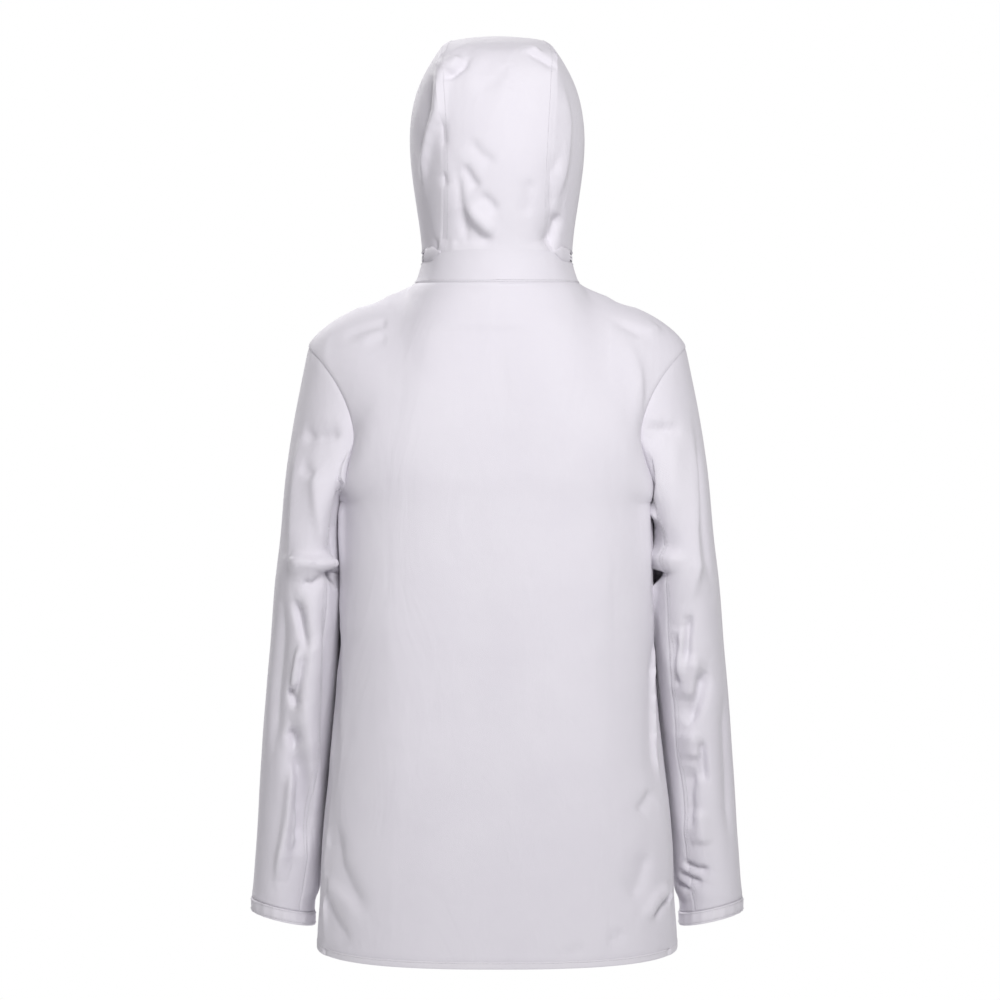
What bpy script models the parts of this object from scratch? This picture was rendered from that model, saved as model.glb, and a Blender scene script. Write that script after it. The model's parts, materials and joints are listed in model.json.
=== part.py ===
"""Hooded beekeeping jacket in its worn shape, with a fencing-style veil hood that unzips and tips back.

Metres, +Z up. The wearer faces -Y, so the back of the jacket is at +Y and the wearer's left is at +X.
The origin is the middle of the neck opening at the height of the neck seam at centre back.
Every cloth panel is a closed shell as thick as the cloth, and neighbours meet along a seam with a
hair's gap. The neck zip lies on a true circle, so its two sliders turn about that circle's middle.
"""

import math

import bpy
from mathutils import Matrix, Vector
from mathutils.kdtree import KDTree

# ------------------------------------------------------------------ driving dimensions
CLOTH = 0.0016  # thickness of the jacket's cloth
MESH_CLOTH = 0.0012  # thickness of the veil net
SEAM = 0.00018  # each panel stops this short of its seam line
FOLD_GAP = 0.0004  # where two panels fold back on each other, each sinks this far
BAND = 0.0026  # thickness of the folded hem and cuff bands

# torso: height, half width, depth of the back, all from the neck point
TORSO = [
    (-0.740, 0.1985, 0.128),
    (-0.660, 0.1975, 0.1275),
    (-0.600, 0.1935, 0.126),
    (-0.534, 0.1850, 0.124),
    (-0.450, 0.1735, 0.121),
    (-0.340, 0.1690, 0.119),
    (-0.235, 0.1700, 0.1175),
]
ROUNDNESS = 2.5  # exponent of the torso's section; 2 is an ellipse
HEM_BACK, HEM_SIDE, HEM_FRONT = -0.7376, -0.7255, -0.7120
HEM_BAND = 0.008
UNDERARM = -0.235
NECK_WIDTH, NECK_DEPTH = 0.089, 0.0865  # half sizes of the neck seam
NECK_SIDE, NECK_DROP = 0.004, 0.044  # its height at the side, and the drop from there to the front

# the neck zip's circle, which the collar's top edge and the hood's bottom edge follow
RING_R, RING_Z, RING_TILT = 0.083, 0.034, math.radians(4.0)
ZIP_FRONT_HALF_ANGLE = math.radians(120.0)  # the zip covers this much each side of the front
ZIP_CLEAR = 0.005  # the cloth stops this far from the ring where there is a zip

# front zip: straight from the collar's top to the hem
FRONT_TOP = Vector((0.0, -RING_R * math.cos(RING_TILT), RING_Z - RING_R * math.sin(RING_TILT)))
FRONT_FOOT = Vector((0.0, -0.122, -0.700))
FRONT_EDGE = 0.0055  # the front panels stop this far from the zip's middle
ZIP_SLOT = 0.0008  # half the gap between the two rows of teeth
ZIP_TEETH_W, ZIP_TEETH_T = 0.0021, 0.0022
GUARD_DEPTH = 0.0046  # the wind guard's outer face, this far inside the front edges
TAPE_FROM, TAPE_TO, TAPE_T = 0.0038, 0.0110, 0.0008  # the tape lies this far from the middle
TAPE_DEPTH = 0.0008  # air between the cloth and the tape behind it

# armhole, from the drop-shoulder tip round to the underarm
ARM_TOP, ARM_MID_Z, ARM_HALF_Z = 0.207, -0.1475, 0.0875
ARM_BACK, ARM_FRONT, ARM_CUT_IN = 0.072, 0.075, 0.034

# sleeve rings: middle x, y, z, half width across, half width fore and aft
SLEEVE = [
    (0.2065, -0.002, -0.262, 0.0335, 0.0770),
    (0.2100, -0.008, -0.330, 0.0360, 0.0740),
    (0.2145, -0.015, -0.395, 0.0365, 0.0700),
    (0.2205, -0.023, -0.455, 0.0362, 0.0655),
    (0.2275, -0.031, -0.534, 0.0350, 0.0590),
    (0.2330, -0.038, -0.605, 0.0342, 0.0530),
    (0.2370, -0.044, -0.660, 0.0345, 0.0490),
    (0.2388, -0.046, -0.6835, 0.0347, 0.0475),
]
CUFF_SLANT = 0.0080  # the cuff's inner side hangs this much lower than its middle
CUFF_BAND = 0.015
ARM_STEPS = 10  # cells on each half of the armhole and sleeve
UNDER_SLEEVE = (7, 13)  # columns of the sleeve ring between which the under sleeve lies

# hood: the line over the middle of the head, from the nape to the brim, as y, z
HOOD_LINE = [
    (RING_R * math.cos(RING_TILT), RING_Z + RING_R * math.sin(RING_TILT)),
    (0.0985, 0.085),
    (0.1085, 0.135),
    (0.1085, 0.185),
    (0.0970, 0.230),
    (0.0700, 0.2600),
    (0.0250, 0.2750),
    (-0.0300, 0.2840),
    (-0.0550, 0.2870),
    (-0.1000, 0.2900),
    (-0.1480, 0.2860),
]
HOOD_BACK_ROWS, HOOD_TOP_ROWS, BRIM_ROWS = 9, 5, 5
STRIP_HALF = [(0.0, 0.0587), (0.25, 0.0590), (0.60, 0.0640), (0.80, 0.0570), (1.0, 0.0560)]
HOOD_CORNER = 5.05  # where on the hood line the back turns into the crown
HOOD_FACE = 8.0  # where on the hood line the side panels end and the brim begins
HOOD_BULGE = 0.029  # how far the side panels swell past the straight line from seam to neck
BRIM_REACH = 0.099
VEIL_LINE = [
    (FRONT_TOP.y, FRONT_TOP.z),
    (-0.128, 0.062),
    (-0.158, 0.110),
    (-0.170, 0.165),
    (-0.164, 0.225),
    (-0.146, 0.2752),
]
BIB_ROWS = 2  # rows of white cloth under the veil net

# colours, linear
WHITE = (0.80, 0.79, 0.83)
TRIM_WHITE = (0.84, 0.83, 0.86)
ZIP_WHITE = (0.86, 0.86, 0.87)
TAPE_WHITE = (0.76, 0.76, 0.79)
NET_BLACK = (0.012, 0.012, 0.014)
STEEL = (0.62, 0.63, 0.65)
HOOK_WHITE = (0.70, 0.70, 0.73)

LEFT, RIGHT = 1, -1
SIDE_NAME = {LEFT: "left", RIGHT: "right"}


# ------------------------------------------------------------------ small maths
def lerp(a, b, t):
    return a + (b - a) * t


def smoothstep(t):
    t = min(1.0, max(0.0, t))
    return t * t * (3 - 2 * t)


def catmull(rows, t):
    """A smooth line through rows of numbers; row 0 is at t = 0 and row k at t = k."""
    last = len(rows) - 1
    k = min(max(int(math.floor(t)), 0), last - 1)
    f = t - k
    p = [rows[min(max(i, 0), last)] for i in (k - 1, k, k + 1, k + 2)]
    return [
        0.5
        * (
            2 * b
            + (c - a) * f
            + (2 * a - 5 * b + 4 * c - d) * f * f
            + (3 * b - a - 3 * c + d) * f**3
        )
        for a, b, c, d in zip(*p)
    ]


def table(rows, x):
    """Smooth values at x of rows that start with a rising key."""
    keys = [r[0] for r in rows]
    x = min(max(x, keys[0]), keys[-1])
    k = max(i for i in range(len(keys) - 1) if keys[i] <= x)
    return catmull([r[1:] for r in rows], k + (x - keys[k]) / (keys[k + 1] - keys[k]))


def power_arc(t, n=ROUNDNESS):
    """(outwards, along) on a quarter of a superellipse; t = 0 is the middle of a face, 1 its side."""
    a = t * math.pi / 2
    return math.sin(a) ** (2 / n), max(math.cos(a), 0.0) ** (2 / n)


def coons(bottom, top, left, right, u, v):
    """A smooth surface inside four edge curves; each is a function of a number from 0 to 1."""
    ruled = lerp(bottom(u), top(u), v) + lerp(left(v), right(v), u)
    corners = lerp(lerp(bottom(0), bottom(1), u), lerp(top(0), top(1), u), v)
    return ruled - corners


def mirror(p, side):
    return Vector((p.x * side, p.y, p.z))


# ------------------------------------------------------------------ the jacket's surfaces
def zip_line(z):
    """The front zip's middle at height z."""
    t = (z - FRONT_FOOT.z) / (FRONT_TOP.z - FRONT_FOOT.z)
    return lerp(FRONT_FOOT, FRONT_TOP, t)


def neck_point(angle):
    """The neck seam; angle 0 is centre back, a right angle the side, a half turn centre front."""
    drop = max(0.0, -math.cos(angle)) ** 2 * NECK_DROP
    lift = math.sin(angle) ** 2 * NECK_SIDE if angle < math.pi / 2 else NECK_SIDE
    return Vector((NECK_WIDTH * math.sin(angle), NECK_DEPTH * math.cos(angle), lift - drop))


def front_turn(t, radius):
    """The front quarter of the neck or ring: from the zip's edge at t = 0 to the side at t = 1."""
    return math.pi - lerp(math.asin(FRONT_EDGE / radius), math.pi / 2, t)


def ring_point(angle, radius=RING_R, up=0.0):
    """A point of the neck zip's circle, with the same angles as the neck seam."""
    x, e = radius * math.sin(angle), radius * math.cos(angle)
    c, s = math.cos(RING_TILT), math.sin(RING_TILT)
    return Vector((x, e * c - up * s, RING_Z + e * s + up * c))


def shoulder_seam(t):
    """From the neck's side out to the drop-shoulder tip."""
    x = [NECK_WIDTH, 0.135, 0.186, ARM_TOP]
    z = [NECK_SIDE, -0.012, -0.026, ARM_MID_Z + ARM_HALF_Z]
    b = [(1 - t) ** 3, 3 * t * (1 - t) ** 2, 3 * t * t * (1 - t), t**3]
    return Vector((sum(i * j for i, j in zip(b, x)), 0.0, sum(i * j for i, j in zip(b, z))))


def armhole(angle):
    """The armhole seam; 0 is the shoulder tip, +90 degrees the back, 180 the underarm."""
    c, s = math.cos(angle), math.sin(angle)
    middle = (ARM_TOP + TORSO[-1][1]) / 2
    cut_in = abs(s) ** (2 if c > 0 else 3.5)
    x = middle + (ARM_TOP - TORSO[-1][1]) / 2 * c - ARM_CUT_IN * cut_in
    return Vector((x, (ARM_BACK if s > 0 else ARM_FRONT) * s, ARM_MID_Z + ARM_HALF_Z * c))


def hem_height(u, back):
    """Height of the hem's edge; u goes from the middle of the back or front to the side."""
    middle = HEM_BACK if back else HEM_FRONT
    return lerp(middle, HEM_SIDE, u * u)


def lower_torso(u, v, back):
    """Below the underarm: u from centre to side seam, v from the hem band to the underarm."""
    foot = hem_height(u, back) + HEM_BAND
    z = lerp(foot, UNDERARM, v)
    half, depth = table(TORSO, z)
    across, along = power_arc(u)
    if back:
        return Vector((half * across, depth * along, z))
    return Vector((lerp(FRONT_EDGE, half, across), zip_line(z).y * along, z))


def bezier(points, t):
    a, b, c, d = points
    return a * (1 - t) ** 3 + b * 3 * t * (1 - t) ** 2 + c * 3 * t * t * (1 - t) + d * t**3


def upper_torso(u, v, back):
    """From the underarm up to the shoulder seam and neck, inside four edges.

    The corner between neck and shoulder seam fades out quickly below them.
    """

    def top(t):
        if t <= 0.5:
            return neck_point(t * math.pi if back else front_turn(2 * t, NECK_WIDTH))
        return shoulder_seam(2 * t - 1)

    def arm(t):
        turn = math.pi * (1 - t)
        return armhole(turn if back else -turn)

    def centre(t):
        if back:
            rows = [(TORSO[-1][2], UNDERARM), (0.1155, -0.165), (0.1090, -0.095), (0.0985, -0.040)]
            y, z = catmull([*rows, (NECK_DEPTH, 0.0)], 4 * t)
            return Vector((0.0, y, z))
        z = lerp(UNDERARM, top(0).z, t)
        return Vector((FRONT_EDGE, lerp(zip_line(z).y, top(0).y, t**4), z))

    start, end = top(0), top(1)
    low = Vector((0.105, start.y * 0.74, start.z * 0.6)), Vector((0.172, start.y * 0.14, -0.018))
    rounded = [start, *low, end]
    p = coons(lambda t: lower_torso(t, 1.0, back), lambda t: bezier(rounded, t), centre, arm, u, v)
    return p + (top(u) - bezier(rounded, u)) * v**3


def torso(u, v, back):
    """v from -1 at the hem band to 0 at the underarm and 1 at the neck."""
    return lower_torso(u, v + 1, back) if v <= 0 else upper_torso(u, v, back)


def sleeve_ring(t, angle):
    """Tube of the arm below the underarm; t counts down the rows of SLEEVE."""
    x, y, z, across, deep = catmull(SLEEVE, t)
    slant = CUFF_SLANT * smoothstep(t / (len(SLEEVE) - 1))
    c, s = math.cos(angle), math.sin(angle)
    return Vector((x + across * c, y + deep * s, z + slant * c))


def sleeve(t, angle):
    """t from -1 at the armhole to 0 at the first ring, then down the rows of SLEEVE."""
    if t >= 0:
        return sleeve_ring(t, angle)
    f = t + 1
    p = lerp(armhole(angle), sleeve_ring(0, angle), f)
    swell = math.sin(math.pi * f)
    p.x += 0.0035 * swell * max(math.cos(angle), 0.0)
    p.y += 0.004 * swell * math.sin(angle)
    return p


def hood_line(t):
    y, z = catmull(HOOD_LINE, t)
    return Vector((0.0, y, z))


def strip_half_width(t):
    """Half the width of the hood's middle panel; past the face it rounds off as the brim."""
    if t <= HOOD_FACE:
        return table(STRIP_HALF, t / HOOD_FACE)[0]
    reach = (hood_line(HOOD_FACE).y - hood_line(t).y) / BRIM_REACH
    return max(0.018, STRIP_HALF[-1][1] * (1 - min(reach, 1.0) ** 2.6) ** (1 / 2.6))


def hood_strip(u, t):
    """The hood's middle panel; u from -1 to 1 across, t along the hood line."""
    m = hood_line(t)
    tangent = (hood_line(min(t + 0.05, 10.0)) - hood_line(max(t - 0.05, 0.0))).normalized()
    inwards = Vector((0.0, -tangent.z, tangent.y))
    half = strip_half_width(t)
    if t <= 0.0:
        return ring_point(u * math.radians(45.0))
    back, crown = 0.0165, 0.006
    sag = lerp(back, crown, smoothstep((t - 3.2) / 2.6))
    sag = lerp(RING_R * (1 - math.cos(math.radians(45))), sag, smoothstep(t / 1.5))
    return m + Vector((half * u, 0, 0)) + inwards * sag * abs(u) ** 2.2


def hood_side(u, v):
    """Side panel for +X; u from the back seam to the face, v from the neck to the top seam."""

    def bottom(t):
        return ring_point(math.radians(lerp(45, 120, t)))

    def top(t):
        return hood_strip(1.0, lerp(HOOD_CORNER, HOOD_FACE, t))

    def back(t):
        return hood_strip(1.0, HOOD_CORNER * t)

    def face(t):
        return lerp(bottom(1), top(1), t)

    p = coons(bottom, top, back, face, u, v)
    p.x += HOOD_BULGE * math.sin(math.pi * v**1.3) * math.sin(min(1.0, u / 0.55) * math.pi / 2)
    p.y -= 0.010 * math.sin(math.pi * v) * u
    return p


def veil(across, v):
    """The veil; across from 0 at the left edge to 1 at the right, v from the neck to the brim."""
    edge = hood_side(1.0, v)
    y, z = catmull(VEIL_LINE, v * (len(VEIL_LINE) - 1))
    a = across * math.pi
    c, s = math.cos(a), math.sin(a)
    n = 2 / 2.3
    side, front = abs(c) ** n * (1 if c > 0 else -1), s**n
    p = Vector((edge.x * side, lerp(edge.y, y, front), lerp(edge.z, z, front)))
    return lerp(ring_point(math.radians(lerp(120, 240, across))), p, smoothstep(v / 0.2))


# ------------------------------------------------------------------ solids
def material(name, colour, roughness=0.85, metallic=0.0):
    mat = bpy.data.materials.get(name)
    if mat is None:
        mat = bpy.data.materials.new(name)
        mat.use_nodes = True
        shader = mat.node_tree.nodes["Principled BSDF"]
        shader.inputs["Base Color"].default_value = (*colour, 1.0)
        shader.inputs["Roughness"].default_value = roughness
        shader.inputs["Metallic"].default_value = metallic
    return mat


MATERIALS = {
    "cloth": ("jacket cloth", WHITE, 0.85, 0.0),
    "trim": ("binding", TRIM_WHITE, 0.80, 0.0),
    "tape": ("zip tape", TAPE_WHITE, 0.85, 0.0),
    "teeth": ("moulded zip teeth", ZIP_WHITE, 0.45, 0.0),
    "net": ("veil net", NET_BLACK, 0.75, 0.0),
    "steel": ("zip metal", STEEL, 0.30, 1.0),
    "hook": ("hook and loop", HOOK_WHITE, 0.95, 0.0),
    "boning": ("veil boning", TRIM_WHITE, 0.50, 0.0),
}


def add_object(name, verts, faces, finish, smooth=True):
    mesh = bpy.data.meshes.new(name)
    mesh.from_pydata([tuple(v) for v in verts], [], faces)
    mesh.materials.append(material(*MATERIALS[finish]))
    if smooth:
        mesh.shade_smooth()
        mesh.set_sharp_from_angle(angle=math.radians(40))
    obj = bpy.data.objects.new(name, mesh)
    bpy.context.scene.collection.objects.link(obj)
    return obj


class Panel:
    """A panel of cloth: rows of points on its outer face, and the cells that are left out."""

    def __init__(self, name, rows, inside, finish="cloth", thick=CLOTH, ring=False, skip=()):
        self.name, self.finish, self.thick = name, finish, thick
        width = len(rows[0])
        self.points = [p for row in rows for p in row]
        around = width if ring else width - 1
        self.quads = []
        for j in range(len(rows) - 1):
            for i in range(around):
                if (j, i) not in skip:
                    a, b = j * width + i, j * width + (i + 1) % width
                    self.quads.append((a, b, b + width, a + width))
        outwards = 0.0
        for quad in self.quads:
            middle = self.middle_of(quad)
            outwards += self.normal_of(quad).dot(middle - inside(middle))
        if outwards < 0:
            self.quads = [q[::-1] for q in self.quads]

    def middle_of(self, quad):
        return sum((self.points[i] for i in quad), Vector()) / 4

    def normal_of(self, quad):
        a, b, c, d = (self.points[i] for i in quad)
        return (c - a).cross(d - b)

    def measure(self):
        """Each used point's normal, and the way into the cloth from it."""
        self.normals, self.inwards, self.slants, self.sinks = {}, {}, {}, {}
        for quad in self.quads:
            n, middle = self.normal_of(quad), self.middle_of(quad)
            for i in quad:
                self.normals[i] = self.normals.get(i, Vector()) + n
                self.inwards[i] = self.inwards.get(i, Vector()) + middle - self.points[i]
        for i, n in self.normals.items():
            n.normalize()
            way = self.inwards[i]
            self.inwards[i] = (way - n * way.dot(n)).normalized()

    def boundary(self):
        edges = {}
        for q in self.quads:
            for k in range(4):
                a, b = q[k], q[(k + 1) % 4]
                if (b, a) in edges:
                    del edges[(b, a)]
                else:
                    edges[(a, b)] = True
        return list(edges)

    def solid(self, lift=0.0, depth=None):
        """Points and faces of the shell: the outer face, the inner one and the walls between them."""
        depth = self.thick if depth is None else depth
        used = sorted(self.normals)
        place = {old: new for new, old in enumerate(used)}
        boundary = self.boundary()
        edge_points = {i for edge in boundary for i in edge}
        outer, inner = [], []
        for i in used:
            p, n = self.points[i].copy(), self.normals[i]
            if i in edge_points:
                p += self.inwards[i] * SEAM * 1.5 - n * self.sinks.get(i, 0.0)
            n = self.slants.get(i, n)
            outer.append(p + n * lift)
            inner.append(p + n * (lift - depth))
        count = len(used)
        faces = [tuple(place[i] for i in q) for q in self.quads]
        faces += [tuple(place[i] + count for i in reversed(q)) for q in self.quads]
        for a, b in boundary:
            a, b = place[a], place[b]
            faces.append((b, a, a + count, b + count))
        return outer + inner, faces


def fit_seams(panels):
    """Where panels meet like a ridge, lean both edge walls to one mitre; where they fold, part them."""
    spots = [(panel, i) for panel in panels for i in panel.normals]
    tree = KDTree(len(spots))
    for k, (panel, i) in enumerate(spots):
        tree.insert(panel.points[i], k)
    tree.balance()
    for panel, i in spots:
        n = panel.normals[i]
        total, folded = n.copy(), 0.0
        for _, k, _ in tree.find_range(panel.points[i], 2e-5):
            other, j = spots[k]
            if other is panel:
                continue
            alike = n.dot(other.normals[j])
            if alike > 0 and n.dot(other.inwards[j]) < 0.05:
                total += other.normals[j]
            folded = max(folded, -alike)
        slant = total.normalized()
        panel.slants[i] = slant / max(slant.dot(n), 0.6)
        panel.sinks[i] = FOLD_GAP * min(1.0, folded * 2)


def build_panels(panels):
    for panel in panels:
        panel.measure()
    fit_seams(panels)
    for panel in panels:
        add_object(panel.name, *panel.solid(), panel.finish)


def grid(surface, us, vs):
    return [[surface(u, v) for u in us] for v in vs]


def steps(a, b, count):
    return [lerp(a, b, i / count) for i in range(count + 1)]


def box_between(corner, axes, low, high):
    """A box in the frame (corner; three axes), from low to high along each axis."""
    points = []
    for k in (low[2], high[2]):
        for j in (low[1], high[1]):
            for i in (low[0], high[0]):
                points.append(corner + axes[0] * i + axes[1] * j + axes[2] * k)
    faces = [(0, 2, 3, 1), (4, 5, 7, 6), (0, 1, 5, 4), (2, 6, 7, 3), (0, 4, 6, 2), (1, 3, 7, 5)]
    return points, faces


def rim_strip(outline_pairs):
    """A bar with a four-cornered section: outline_pairs holds the four corners at each station."""
    points = [p for corners in outline_pairs for p in corners]
    faces = [(3, 2, 1, 0)]
    last = len(outline_pairs) - 1
    for k in range(last):
        for c in range(4):
            a, b = 4 * k + c, 4 * k + (c + 1) % 4
            faces.append((a, b, b + 4, a + 4))
    faces.append(tuple(4 * last + c for c in range(4)))
    return points, faces


def turned_out(points, faces):
    """The same faces, all pointing away from the solid's inside."""
    volume = 0.0
    for f in faces:
        for k in range(1, len(f) - 1):
            volume += points[f[0]].dot(points[f[k]].cross(points[f[k + 1]]))
    return points, faces if volume > 0 else [f[::-1] for f in faces]


def ring_bar(angles, radii, heights):
    """A bar that follows the neck ring through angles; radii may be a function of the angle."""
    stations = []
    for angle in angles:
        low, high = radii(angle) if callable(radii) else radii
        corners = [(low, heights[0]), (high, heights[0]), (high, heights[1]), (low, heights[1])]
        stations.append([ring_point(angle, r, h) for r, h in corners])
    return turned_out(*rim_strip(stations))


# ------------------------------------------------------------------ sub-parts
def torso_panels():
    us, low, high = steps(0, 1, 12), steps(-1, 0, 12), steps(0, 1, ARM_STEPS)[1:]
    panels = []

    def inside(p):
        return Vector((0, 0, p.z))

    back_rows = []
    for v in low + high:
        half = [torso(u, v, True) for u in us]
        back_rows.append([mirror(p, -1) for p in half[:0:-1]] + half)
    panels.append(Panel("back_panel", back_rows, inside))
    for side in (LEFT, RIGHT):
        rows = [[mirror(torso(u, v, False), side) for u in us] for v in low + high]
        panels.append(Panel(f"{SIDE_NAME[side]}_front_panel", rows, inside))
    return panels


def sleeve_panels(side):
    turn = math.pi / ARM_STEPS
    stations = [-1, -0.78, -0.55, -0.3, 0, *steps(0, 7, 11)[1:]]
    rows = [[mirror(sleeve(t, turn * i), side) for i in range(2 * ARM_STEPS)] for t in stations]

    def inside(p):
        return Vector((side * 0.222, -0.02, p.z))

    first, last = UNDER_SLEEVE
    outer_columns = [*range(last, 2 * ARM_STEPS), *range(first + 1)]
    outer = [[row[i] for i in outer_columns] for row in rows]
    under = [row[first : last + 1] for row in rows]
    name = SIDE_NAME[side]
    return [
        Panel(f"{name}_outer_sleeve", outer, inside),
        Panel(f"{name}_under_sleeve", under, inside),
    ]


def collar_angles(radius):
    """Round from one side of the front zip to the other, a quarter in six cells."""
    half = [math.pi * k / 12 for k in range(7)]
    half += [front_turn(1 - k / 6, radius) for k in range(1, 7)]
    return [-a for a in half[:0:-1]] + half


def collar_panel():
    """Stand collar from the neck seam to the neck ring, open at the front for the zip."""
    seam, ring = collar_angles(NECK_WIDTH), collar_angles(RING_R)
    bottom = []
    for a in seam:
        p = neck_point(abs(a))
        bottom.append(Vector((math.copysign(p.x, a), p.y, p.z)))
    ledge = [ring_point(a, RING_R, -ZIP_CLEAR) for a in ring]
    rows = [bottom, [lerp(p, q, 0.5) for p, q in zip(bottom, ledge)], ledge]
    rows.append([ring_point(a) for a in ring])
    zipped = {
        (2, i)
        for i in range(len(ring) - 1)
        if max(abs(ring[i]), abs(ring[i + 1])) > math.pi - ZIP_FRONT_HALF_ANGLE + 0.01
    }
    return Panel("collar", rows, lambda p: Vector((0, 0, p.z)), skip=zipped), rows


def hood_panels():
    """Middle strip with its brim, two side panels, the veil net and the bib below it."""

    def inside(p):
        return Vector((0, -0.03, 0.13))

    back = steps(0, HOOD_CORNER, HOOD_BACK_ROWS)
    crown = steps(HOOD_CORNER, HOOD_FACE, HOOD_TOP_ROWS)[1:]
    brim = steps(HOOD_FACE, 10.0, BRIM_ROWS)[1:]
    strip = grid(hood_strip, steps(-1, 1, 6), back + crown + brim)
    panels = [Panel("hood_centre_panel", strip, inside)]
    vs = steps(0, 1, HOOD_BACK_ROWS)
    for side in (LEFT, RIGHT):
        us = steps(0, 1, HOOD_TOP_ROWS)
        rows = [[mirror(hood_side(u, v), side) for u in us] for v in vs]
        for i, u in enumerate(us):
            angle = side * math.radians(lerp(45, 120, u))
            if u > 0.19:
                rows[0][i] = ring_point(angle, RING_R, ZIP_CLEAR)
        panels.append(Panel(f"{SIDE_NAME[side]}_hood_panel", rows, inside))
    across = steps(0, 1, 8)
    rows = grid(veil, across, vs)
    rows[0] = [ring_point(math.radians(lerp(120, 240, t)), RING_R, ZIP_CLEAR) for t in across]
    panels.append(Panel("veil_bib", rows[: BIB_ROWS + 1], inside))
    panels.append(Panel("veil_net", rows[BIB_ROWS:], inside, "net", MESH_CLOTH))
    return panels


def hem_binding():
    """A folded band under the panels' lower edges, open at the front zip."""
    stations = []
    us = steps(0, 1, 12)
    path = [(u, False, LEFT) for u in us] + [(u, True, LEFT) for u in us[-2::-1]]
    path += [(u, True, RIGHT) for u in us[1:]] + [(u, False, RIGHT) for u in us[-2::-1]]
    for u, back, side in path:
        p = mirror(lower_torso(u, 0.0, back), side)
        out = Vector((p.x, p.y, 0)).normalized()
        top, foot = p.z - 2 * SEAM, hem_height(u, back)
        grow = out * (BAND - CLOTH) / 2
        a, b = p + grow, p - out * CLOTH - grow
        corners = [Vector((a.x, a.y, top)), Vector((b.x, b.y, top))]
        corners += [Vector((b.x, b.y, foot)), Vector((a.x, a.y, foot))]
        stations.append(corners)
    add_object("hem_binding", *turned_out(*rim_strip(stations)), "trim", smooth=False)


def tube_band(name, rings, finish):
    """A closed band round the sleeve: rings holds the outer top, outer foot, inner foot, inner top."""
    count = len(rings[0])
    points = [p for ring in rings for p in ring]
    faces = []
    for k in range(4):
        n = (k + 1) % 4
        for i in range(count):
            j = (i + 1) % count
            faces.append((k * count + i, k * count + j, n * count + j, n * count + i))
    add_object(name, *turned_out(points, faces), finish, smooth=False)


def cuff(side):
    """The folded cuff band, and the elastic inside it."""
    last = len(SLEEVE) - 1
    angles = [math.pi * i / ARM_STEPS for i in range(2 * ARM_STEPS)]
    edge = [sleeve(last, a) for a in angles]
    x, y = SLEEVE[-1][0], SLEEVE[-1][1]
    out = [Vector((p.x - x, p.y - y, 0)).normalized() for p in edge]

    def ring(offset, drop):
        points = [p + n * offset - Vector((0, 0, drop)) for p, n in zip(edge, out)]
        return [mirror(p, side) for p in points]

    grow, name = (BAND - CLOTH) / 2, SIDE_NAME[side]
    top, foot = 2 * SEAM, CUFF_BAND
    band = [ring(grow, top), ring(grow, foot)]
    band += [ring(-CLOTH - grow, foot), ring(-CLOTH - grow, top)]
    tube_band(f"{name}_cuff_band", band, "trim")
    gap, thick = CLOTH + grow + 0.0003, 0.0010
    elastic = [ring(-gap, top + 0.003), ring(-gap, foot - 0.003)]
    elastic += [ring(-gap - thick, foot - 0.003), ring(-gap - thick, top + 0.003)]
    tube_band(f"{name}_cuff_elastic", elastic, "tape")


def front_axes():
    """Down the zip, towards +X, and outwards from the wearer."""
    down = (FRONT_FOOT - FRONT_TOP).normalized()
    side = Vector((1, 0, 0))
    return down, side, side.cross(down).normalized() * -1


def front_edge_rows(collar_rows):
    """The front edge of the jacket, hem to collar: the edge point and the next column's point."""
    rows = []
    for v in steps(-1, 0, 12) + steps(0, 1, ARM_STEPS)[1:]:
        rows.append((torso(0, v, False), torso(1 / 12, v, False)))
    rows += [(row[-1], row[-2]) for row in collar_rows[1:3]]
    below, above = rows[-2:]
    rows[-1] = tuple(lerp(p, q, 0.77) for p, q in zip(below, above))
    return rows


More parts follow.
